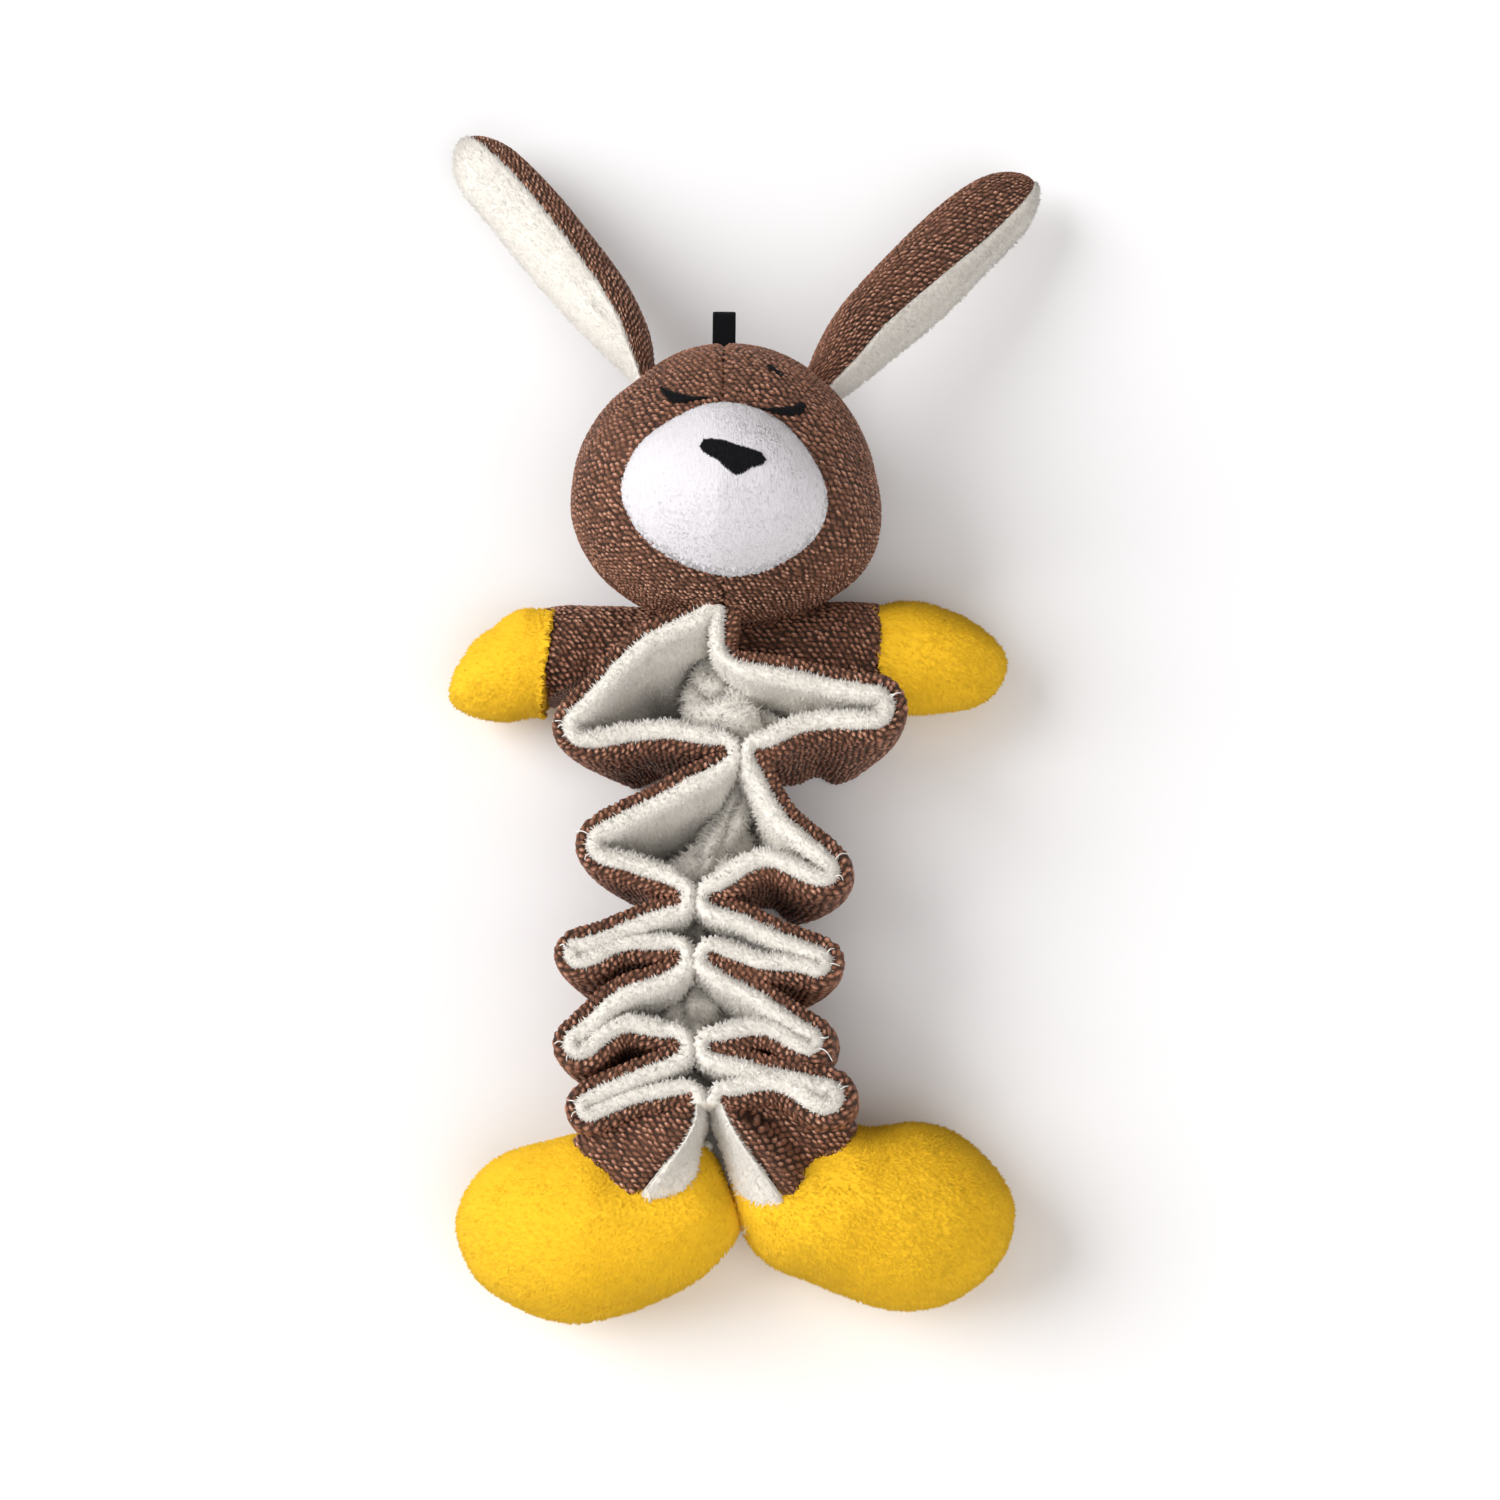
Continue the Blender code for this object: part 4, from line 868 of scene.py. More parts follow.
def build_muzzle():
    """White dome on the face, with a ragged fringe along its seam."""
    bm = ball(51)
    show = bm.verts.layers.float["show"]
    for vertex in bm.verts:
        way = vertex.co
        angle = atan2(way.y, way.x)
        share = min(hypot(way.x, way.y), 1.0)
        reach = around(muzzle_outline, angle) * MM * share
        x = MUZZLE_MIDDLE[0] * MM + reach * cos(angle)
        y = MUZZLE_MIDDLE[1] * MM + reach * sin(angle)
        z = muzzle_height(x, y)
        if way.z < 0:
            z = head_height(x, y) - (0.3 + 3.5 * (1 - share)) * MM
        vertex[show] = 1.0 if way.z > -0.01 else 0.0
        vertex.co = Vector((x, y, z))
    face_outwards(bm)
    middle = Vector((*MUZZLE_MIDDLE, 90)) * MM

    def nap(spot):
        out = spot - middle
        out.z = 0
        if out.length < 1 * MM:
            return Vector((0.3, -0.6, 0))
        return out.normalized() * 0.8 + Vector((0.25, -0.35, 0))

    chance = random.Random(3)
    raise_pile(bm, sizes().white_pile, nap, 0.3, seed=2)
    for vertex in bm.verts:
        out = vertex.co - middle
        angle = atan2(out.y, out.x)
        share = hypot(out.x, out.y) / (around(muzzle_outline, angle) * MM)
        if share > 0.97 and chance.random() < 0.5:
            flat = Vector((cos(angle), sin(angle), -0.25))
            vertex.co += flat * chance.uniform(0.2, 1.5) * MM * (0.5 + 0.5 * max(-sin(angle), 0))
    item = dressed("muzzle_cloth", bm, "white_plush", "head")
    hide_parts("muzzle_panel")


def spans(outline, place):
    """Where a line across the second axis at place crosses an outline, in pairs."""
    found = []
    for a, b in zip(outline, outline[1:] + outline[:1]):
        if (a[0] <= place) != (b[0] <= place):
            found.append(a[1] + (b[1] - a[1]) * (place - a[0]) / (b[0] - a[0]))
    found.sort()
    return list(zip(found[::2], found[1::2]))


def satin(name, outline, slant, height, lift, node):
    """Rows of embroidery thread laid side by side over an outline on a curved surface."""
    chance = random.Random(len(outline) * 7)
    turn = Matrix.Rotation(-slant, 2)
    back = Matrix.Rotation(slant, 2)
    flat = [tuple(turn @ Vector(point)) for point in outline]
    pitch = sizes().thread_pitch / MM
    radius = pitch * 0.62
    bm = with_layers(bmesh.new())
    low = min(point[0] for point in flat)
    high = max(point[0] for point in flat)
    count = int((high - low) / pitch)
    for k in range(count + 1):
        place = low + 0.12 + (high - low - 0.24) * k / count
        for start, end in spans(flat, place):
            start -= chance.uniform(0.0, 0.35)
            end += chance.uniform(0.0, 0.35)
            if end - start < 0.8:
                continue
            steps = max(3, round((end - start) / 1.0))
            rise = lift + chance.uniform(-0.06, 0.06)
            drift = chance.uniform(-0.08, 0.08)

            def place_at(i, j, start=start, end=end, steps=steps, rise=rise, drift=drift):
                t = i / steps
                spot = back @ Vector((place + drift, start + (end - start) * t))
                spot = spot * MM
                dip = min(t, 1 - t) * (end - start)
                up = rise * smooth_step(dip / 0.9 + 0.25) - 0.25
                ground = Vector((spot.x, spot.y, height(spot.x, spot.y) + up * MM))
                side = back @ Vector((1, 0))
                angle = 2 * pi * j / 6
                thin = 1.0 if 0 < i < steps else 0.35
                offset = Vector((side.x * cos(angle), side.y * cos(angle), sin(angle)))
                return ground + offset * radius * thin * MM, (spot.x, spot.y), True

            add_tube(bm, steps, 6, place_at)
    item = dressed(name, bm, "black_thread", "head")
    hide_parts(node)


def build_face():
    """Embroidery of the nose, the eyes and the brow."""
    satin("nose_stitches", nose_outline, radians(-8), muzzle_height, 1.0, "nose_embroidery")
    for side, outline in eye_outlines.items():
        slant = radians(-14) if side == "left" else radians(12)
        satin(f"{side}_eye_stitches", outline, slant, head_height, 0.95,
              f"{side}_eye_embroidery")
    satin("brow_stitches", brow_outline, radians(-32), head_height, 0.7, "brow_embroidery")


def build_loop():
    """Webbing folded back on itself, standing on top of the head."""
    lean = Matrix.Rotation(radians(-0.5), 3, "Z")
    middle = Vector(HEAD_MIDDLE) * MM
    radius = (LOOP_GAP + LOOP_THICKNESS) / 2
    reach = HEAD_TOP + LOOP_HEIGHT - radius
    straight = reach - LOOP_ROOT
    turn = pi * radius
    whole = 2 * straight + turn
    n, m = 90, 36
    half = LOOP_WIDTH / 2
    thick = LOOP_THICKNESS * 0.65

    def place(i, j):
        s = whole * i / n
        if s < straight:
            y, z, out = LOOP_ROOT + s, radius, Vector((0, 0, 1))
        elif s < straight + turn:
            angle = (s - straight) / radius
            y, z = reach + radius * sin(angle), radius * cos(angle)
            out = Vector((0, sin(angle), cos(angle)))
        else:
            y, z, out = reach - (s - straight - turn), -radius, Vector((0, 0, -1))
        angle = 2 * pi * j / m
        x = half * (abs(cos(angle)) ** 0.35) * (1 if cos(angle) > 0 else -1)
        rim = 1 + 0.25 * exp(-((half - abs(x)) / 0.8) ** 2)
        away = thick * rim * (abs(sin(angle)) ** 0.6) * (1 if sin(angle) > 0 else -1)
        spot = Vector((x - LOOP_OFFSET, y, z)) + out * away
        return middle + lean @ (spot * MM), (x * MM, s * MM), True

    bm = tube(n, m, place)
    item = dressed("webbing_loop", bm, "webbing", "head")
    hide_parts("hang_loop")


def middle_and_half(node):
    """Middle and half size of a CAD node's box."""
    low, high = (Vector(corner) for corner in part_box(node))
    return (low + high) / 2, (high - low) / 2


def build_filling():
    """Fibre inside the head, and the squeaker in it."""
    bm = ball(24)
    middle = Vector(HEAD_MIDDLE) * MM
    for vertex in bm.verts:
        way = vertex.co.normalized()
        spot = middle + (head_spot(way) - middle) * 0.9
        spot += way * noise.noise(spot * 90) * 1.6 * MM
        spot.z = max(spot.z, 3 * MM)
        vertex.co = spot
    face_outwards(bm)
    item = dressed("head_filling", bm, "filling", "head")
    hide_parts("head_stuffing")
    for node in ("squeaker_bulb", "squeaker_reed"):
        centre, half = middle_and_half(node)
        folds = 3 if node == "squeaker_bulb" else 0
        steps = 24

        def place(i, j):
            t = i / steps
            edge = min(1.0, 6 * t, 6 * (1 - t)) ** 0.5
            pleat = 1 - 0.07 * (0.5 - 0.5 * cos(2 * pi * folds * t))
            angle = 2 * pi * j / 40
            share = edge * pleat * 0.98 + 0.001
            return centre + Vector((half.x * share * cos(angle), half.y * share * sin(angle),
                                    half.z * (2 * t - 1))), (t, 0.0), True

        bm = tube(steps, 40, place)
        item = dressed(f"{node}_moulding", bm, "vinyl", "head")
        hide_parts(node)


# Ears, arms, legs and feet

def vectors(rows):
    """Points in metres from rows in millimetres."""
    return [Vector(row) * MM for row in rows]


def wrapped_limb(spine, wide, tall, share, side, roll, facet, power=2.1, tip=0.16,
                 coarse=3, dent=None):
    """Part of a stuffed limb that wraps one side from the seam in front to the seam behind."""
    longest = spine_length(spine)
    n = round(longest / facet)
    widest = max(wide)
    girth = (2.0 + 1.2 * (1 - side * sum(share) / len(share))) * widest * 0.62 * MM * 2
    fine = round(girth / facet)
    m = fine + coarse
    frames = []
    for i in range(n + 1):
        s = i / n
        shrink = 1.0
        if s > 1 - tip:
            ahead = sin(pi / 2 * (s - 1 + tip) / tip)
            s = 1 - tip + tip * ahead
            shrink = max(sqrt(max(0.0, 1 - ahead * ahead)), 0.02)
        frames.append((s, shrink, frame_at(spine, s, roll)))

    def place(i, j):
        s, shrink, (point, across, up) = frames[i]
        half, high = along(wide, s) * shrink, along(tall, s) * shrink
        seam = acos(min(max(along(share, s), -0.9), 0.9))
        shown = j <= fine
        t = j / fine if shown else (j - fine) / coarse
        first, last = (-seam, seam) if side > 0 else (seam, 2 * pi - seam)
        if not shown:
            first, last = last, first + (2 * pi if side < 0 else 0)

        def edge(angle):
            a, b = cos(angle), sin(angle)
            full = (abs(a) ** power + abs(b) ** power) ** (-1 / power)
            return Vector((half * a * full, high * b * full))

        if shown:
            flat = edge(first + (last - first) * t)
            away = min(t, 1 - t) * girth / MM
            flat *= 1 - seam_dip(away, *limb_seam) / max(flat.length, 3.0)
            if dent:
                flat.y -= dent(s, flat.x / max(half, 0.1)) * (1 if flat.y > 0 else 0)
        else:
            ends = [edge(first), edge(first + (seam * -2 if side > 0 else 2 * seam))]
            ends = [e * (1 - limb_seam[0] / max(e.length, 3.0)) for e in ends]
            flat = ends[0].lerp(ends[1], t)
        return point + (across * flat.x + up * flat.y) * MM, (s * longest, t * girth), shown

    return tube(n, m, place)


def build_ears():
    """Long ears, knit behind and plush in front, that bend at their roots."""
    s = sizes()
    for side, sign in SIDES.items():
        spine = vectors(ear_middles[side])
        roll = radians(8.0) * sign
        form = (spine, ear_half_widths[side], ear_half_heights, ear_seam_shares[side])
        bm = wrapped_limb(*form, -sign, roll, s.knit_facet)
        raise_stitches(bm)
        bend = {"start": tuple(spine[0]), "end": tuple(spine[0].lerp(spine[-1], 0.18))}
        item = dressed(f"{side}_ear_knit", bm, "knit")
        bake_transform(item, "head", f"{side}_ear", **bend)
        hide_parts(f"{side}_ear_back_panel")

        def dent(at, out, side=side):
            if side == "right":
                return 3.4 * exp(-((out - 0.74) / 0.17) ** 2) * max(0.0, sin(pi * at)) ** 0.5
            return 1.8 * exp(-((out + 0.1) / 0.28) ** 2 - ((at - 0.30) / 0.07) ** 2)

        bm = wrapped_limb(*form, sign, roll, s.plush_facet, dent=dent)
        nap = Vector((sign * 0.6, -0.5, -0.1)) if side == "right" else Vector((-0.5, 0.6, -0.1))
        raise_pile(bm, s.plush_pile * 0.9, nap, seed=5 if sign > 0 else 6)
        item = dressed(f"{side}_ear_plush", bm, "plush")
        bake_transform(item, "head", f"{side}_ear", **bend)
        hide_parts(f"{side}_ear_lining")


def build_arms():
    """Knit sleeves that bend, with a yellow hand on each cuff."""
    s = sizes()
    for side, sign in SIDES.items():
        spine = vectors(arm_lines[side])
        longest = spine_length(spine)
        n = round(longest / s.knit_facet)
        girth = 2 * pi * SLEEVE_RADIUS * MM
        m = round(girth / s.knit_facet)
        frames = [frame_at(spine, i / n) for i in range(n + 1)]

        def place(i, j):
            t = i / n
            point, across, up = frames[i]
            angle = 2 * pi * (j / m) - pi / 2
            last = (1 - t) * longest / MM
            snug = 1 - 0.10 * exp(-(last / 1.2) ** 2)
            wave = 1 + 0.02 * sin(3 * angle + 9 * t) + 0.015 * sin(5 * angle - 14 * t)
            wide = along(arm_half_heights, t) * MM * snug * wave
            tall = along(arm_half_depths, t) * MM * snug * wave
            spot = point + across * wide * cos(angle) + up * tall * sin(angle)
            spot.z = max(spot.z, 1.0 * MM)
            return spot, (t * longest, j / m * girth), True

        bm = tube(n, m, place)
        raise_stitches(bm)
        point, normal = leaf_plane(side)
        trim(bm, point + normal * 3.2 * MM, -normal)
        item = dressed(f"{side}_arm_knit", bm, "knit")
        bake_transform(item, "head", f"{side}_arm",
                 start=(spine[1].x, spine[1].y, spine[1].z), end=tuple(spine[3]))
        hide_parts(f"{side}_sleeve")

        middle = Vector((*hand_middles[side], HAND_HEIGHT)) * MM
        cuff = spine[3] - Vector((sign * 0.8, 0, 0)) * MM
        axis = Vector((-sign, -0.10, 0)).normalized()
        bm = pillow(middle, hand_outlines[side], s.hand_depth, 48, 2.1, keep=(cuff, axis))
        raise_pile(bm, s.yellow_pile, Vector((sign * 0.6, -0.5, 0.0)), seed=7)
        chance = random.Random(17)
        for vertex in bm.verts:
            if abs((vertex.co - cuff).dot(axis)) < 0.9 * MM:
                out = vertex.co - cuff
                out -= axis * out.dot(axis)
                vertex.co += axis * chance.uniform(-0.3, 2.0) * MM + out.normalized() * 0.7 * MM
        item = dressed(f"{side}_hand_plush", bm, "yellow_plush", f"{side}_arm")
        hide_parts(f"{side}_hand")


def trim(bm, point, normal):
    """Cut away what lies beyond a plane and close the cut."""
    geometry = bm.verts[:] + bm.edges[:] + bm.faces[:]
    cut = bmesh.ops.bisect_plane(bm, geom=geometry, plane_co=point, plane_no=normal,
                                 clear_outer=True)
    rim = [item for item in cut["geom_cut"] if isinstance(item, bmesh.types.BMEdge)]
    bmesh.ops.edgeloop_fill(bm, edges=rim)
    bm.normal_update()


def leaf_plane(side):
    """Point on the first upper leaf and its direction towards the knit side."""
    sign = SIDES[side]
    start = band_path(side, 0)
    leaf = [row for row in start if row[2] == 0]
    point, normal, _ = leaf[10]
    place = Vector((sign * point.x + TOY_MIDDLE[0], point.y + TOY_MIDDLE[1], 20.0)) * MM
    return place, Vector((sign * normal.x, normal.y, 0)).normalized()


def pillow(middle, outline, depth, cuts, power=2.0, keep=None, groove=None, hollow=None):
    """Stuffed form with an outline from above, flat where it rests."""
    bm = ball(cuts)
    show = bm.verts.layers.float["show"]
    for vertex in bm.verts:
        way = vertex.co.copy()
        flat = hypot(way.x, way.y)
        angle = atan2(way.y, way.x)
        full = (flat ** power + abs(way.z) ** power) ** (-1 / power)
        reach = around(outline, angle) * MM * flat * full
        spot = middle + Vector((reach * cos(angle), reach * sin(angle), depth * way.z * full))
        soft = noise.noise(spot * 60) * 0.9 + noise.noise(spot * 24) * 1.3
        spot += way * soft * MM
        if groove:
            spot -= way * groove(spot)
        if hollow:
            near = (spot.xy - Vector(hollow[0]) * MM).length
            spot.z -= hollow[1] * MM * exp(-(near / (17 * MM)) ** 2) * smooth_step(way.z * 2)
        spot.z = max(spot.z, 0.4 * MM)
        vertex.co = spot
        vertex[show] = 1.0
    face_outwards(bm)
    if keep:
        trim(bm, *keep)
    return bm


def leg_half(side, part, facet):
    """Knit or plush half of a leg, stretched from its seam to its outer edge."""
    knit = part == "knit"
    edges = leg_knit_edges if knit else leg_plush_edges
    seam = [Vector((*row, BAND_MIDDLE)) * MM for row in leg_seams[side]]
    edge = [Vector((*row, BAND_MIDDLE)) * MM for row in edges[side]]
    longest = 46.0 * MM
    girth = 78.0 * MM
    n, fine, coarse = round(longest / facet), round(girth / facet), 4
    m = fine + coarse
    tip = 0.10
    power = 3.0 if knit else 1.75
    frames = []
    for i in range(n + 1):
        s, shrink, reach = i / n, 1.0, 0.0
        if s > 1 - tip:
            turn = pi / 2 * (s - 1 + tip) / tip
            shrink, reach, s = max(cos(turn), 0.05), sin(turn) * 4.0, 1.0
        else:
            s /= 1 - tip
        frames.append((s, shrink, reach))

    def place(i, j):
        s, shrink, reach = frames[i]
        shown = j <= fine
        if shown:
            angle = -pi / 2 + pi * j / fine
            a, b = max(cos(angle), 0.0), sin(angle)
            full = (a ** power + abs(b) ** power) ** (-1 / power)
            out, high = a * full, b * full
            if not knit:
                out **= 1.25
        else:
            out, high = 0.0, 1 - 2 * (j - fine) / coarse
        near, far = along(seam, s), along(edge, s)
        tall = along(leg_half_heights, s)
        if high > 0 and shown:
            dent = 0.42 if side == "right" and knit else 0.04
            tall *= 1 - dent * exp(-((out - 0.44) / 0.20) ** 2) * smooth_step(s * 3)
        wave = noise.noise(Vector((out * 3, s * 5, 4.0 if knit else 9.0))) * 1.4 * out
        spot = near.lerp(far, 0.01 + 0.99 * out)
        dip = (2.2 if knit else 3.0) * exp(-(out / (0.05 if knit else 0.10)) ** 2)
        spot += Vector((0, -reach, high * shrink * (tall + wave - dip))) * MM
        spot.z = max(spot.z, 0.6 * MM)
        return spot, (spot.x, spot.y + 0.45 * spot.z), shown

    return tube(n, m, place)


def build_legs():
    """Legs that bend at the crotch, knit outside and plush inside."""
    s = sizes()
    for side in SIDES:
        top = Vector((*leg_seams[side][0], BAND_MIDDLE)) * MM
        for finish in ("knit", "plush"):
            bm = leg_half(side, finish, s.knit_facet if finish == "knit" else s.plush_facet)
            if finish == "knit":
                raise_stitches(bm)
            else:
                raise_pile(bm, s.plush_pile * 0.8, Vector((0, -0.6, 0.0)), seed=8)
            item = dressed(f"{side}_leg_{finish}_cloth", bm, finish)
            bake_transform(item, "section_5", f"{side}_leg", start=tuple(top),
                     end=(top.x, top.y - 22 * MM, top.z))
            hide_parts(f"{side}_leg_{finish}")


def build_feet():
    """Stuffed yellow feet, each an upper and a sole."""
    s = sizes()
    for side, sign in SIDES.items():
        middle = Vector((*foot_middles[side], FOOT_HEIGHT)) * MM
        split = middle + Vector((0, -SOLE_DROP * MM, 0))
        lean = Vector((-0.25 * sign, -0.8, -1.0)).normalized()

        def groove(spot):
            away = (spot - split).dot(lean)
            return 0.3 * MM * exp(-(away / (1.2 * MM)) ** 2)

        for label, normal in (("upper", lean), ("sole", -lean)):
            bm = pillow(middle, foot_outlines[side], s.foot_depth, 84, 2.25,
                        keep=(split - normal * 0.1 * MM, normal), groove=groove,
                        hollow=ankle_hollows[side])
            nap = Vector((sign * 0.55, -0.55, 0.0))
            raise_pile(bm, s.yellow_pile, nap, seed=9 if label == "upper" else 10)
            item = dressed(f"{side}_foot_{label}_plush", bm, "yellow_plush", f"{side}_leg")
            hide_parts(f"{side}_foot_{label}")


# Body bands

def station_y(index):
    """Place of a station along the toy."""
    return -BODY_LENGTH * sum(section_height_shares[:index])


def cord_x(index):
    """How far the cord sways aside at a station."""
    return CORD_SWAY * cord_sway_shares[index]


def cord_y(index):
    """Place of the cord's points along the toy."""
    if index == 0:
        return max(chin_drop_shares.values()) * station_y(1)
    return station_y(index)


def cord_place(index, s):
    """Point on the cord between two stations. It runs straight through each station."""
    start, end = cord_y(index), cord_y(index + 1)
    y = start + (end - start) * s
    straight = SLEEVE_NECK_RUN / (start - end)
    sway = smooth_step((s - straight) / (1 - 2 * straight))
    x = cord_x(index) + (cord_x(index + 1) - cord_x(index)) * sway
    return Vector((x + TOY_MIDDLE[0], y + TOY_MIDDLE[1], BAND_MIDDLE)) * MM


def station_circle(side, index):
    """Centre of the circle that the band goes round at a station, or at the chin for 0."""
    out = SIDES[side] * cord_x(index) + STATION_TIP + station_radii[side]
    y = station_y(index)
    if index == 0:
        y = chin_drop_shares[side] * station_y(1)
    return Vector((out, y))


def fold_circle(side, index):
    """Centre and radius of the circle that the band goes round at its outer fold."""
    reach, drop, size, _, _ = fold_shares[side][index]
    height = station_y(index) - station_y(index + 1)
    return Vector((reach * PLEAT_REACH, station_y(index) - drop * height)), size * FOLD_RADIUS


def run_heading(start, start_radius, end, end_radius, turn):
    """Heading of the straight line that touches two circles on opposite sides."""
    line = end - start
    return atan2(line.y, line.x) + turn * asin((start_radius + end_radius) / line.length)


def bend(centre, radius, turn, start, end, tag):
    """Points and knit-side normals round a circle while the heading goes from start to end."""
    steps = max(6, round(abs(end - start) / radians(4.0)))
    found = []
    for step in range(steps + 1):
        heading = start + (end - start) * step / steps
        normal = Vector((-sin(heading), cos(heading)))
        found.append((centre - normal * turn * radius, normal, tag))
    return found


def run(start, end, bow):
    """Points and normals along a leaf that bows to its knit side, its ends left out."""
    line = end - start
    direction = line.normalized()
    normal = Vector((-direction.y, direction.x))
    steps = 40
    found = []
    for step in range(1, steps):
        t = step / steps
        slope = bow * pi * sin(2 * pi * t) / line.length
        point = start + line * t + normal * bow * (1 - cos(2 * pi * t)) / 2
        found.append((point, (normal - direction * slope).normalized(), 0))
    return found


def band_path(side, index):
    """Seam line between knit and plush through one section, as points with normals."""
    down = -pi / 2
    upper = station_circle(side, index)
    lower = station_circle(side, index + 1)
    radius = station_radii[side]
    first = CHIN_BEND if index == 0 else radius
    upper.x += first - radius
    fold, fold_radius = fold_circle(side, index)
    bow_out, bow_back = fold_shares[side][index][3:]
    straight = index == 0 and side == "left"
    if straight:
        upper = Vector((1.5, 2.0))
        first = 0.0
    out = run_heading(upper, first, fold, fold_radius, 1)
    back = run_heading(fold, fold_radius, lower, radius, -1)
    if back > 0:
        back -= 2 * pi
    arrive = bend(upper, first, 1, down, out, 1)
    if straight:
        arrive = arrive[-1:]
    turn = bend(fold, fold_radius, -1, out, back, 2)
    leave = bend(lower, radius, 1, back, down, 1)
    path = []
    if index == 0 and not straight:
        point, normal, _ = arrive[0]
        path.append((point + Vector((0, CHIN_RUN)), normal, 1))
    return (path + arrive + run(arrive[-1][0], turn[0][0], bow_out * BOW) + turn
            + run(turn[-1][0], leave[0][0], bow_back * BOW) + leave)


def even_path(side, index, facet):
    """The band's path at even steps: point, normal, distance, and closeness to the stations
    and to the outer fold, each from 0 to 1."""
    raw = band_path(side, index)
    reach = [0.0]
    for a, b in zip(raw, raw[1:]):
        reach.append(reach[-1] + (b[0] - a[0]).length)
    n = round(reach[-1] / facet)
    rows = []
    k = 0
    for i in range(n + 1):
        place = reach[-1] * i / n
        while k < len(reach) - 2 and reach[k + 1] < place:
            k += 1
        gap = reach[k + 1] - reach[k]
        t = (place - reach[k]) / gap if gap > 1e-9 else 0.0
        point = raw[k][0].lerp(raw[k + 1][0], t)
        normal = raw[k][1].lerp(raw[k + 1][1], t).normalized()
        tag = raw[k][2] if t < 0.5 else raw[k + 1][2]
        rows.append((point, normal, place, tag))
    near = max(1, round(4.0 / facet))
    lap = 0.5
    ends = ((0, -1), (n, 1))
    for i, way in ends:
        point, normal, place, tag = rows[i]
        ahead = Vector((normal.y, -normal.x)) * way * lap
        rows[i] = (point + ahead, normal, place + way * lap, tag)
    found = []
    for i, (point, normal, place, _) in enumerate(rows):
        window = rows[max(0, i - near): i + near + 1]
        station = sum(1 for row in window if row[3] == 1) / len(window)
        fold = sum(1 for row in window if row[3] == 2) / len(window)
        found.append((point, normal, place, smooth_step(station), smooth_step(fold)))
    return found


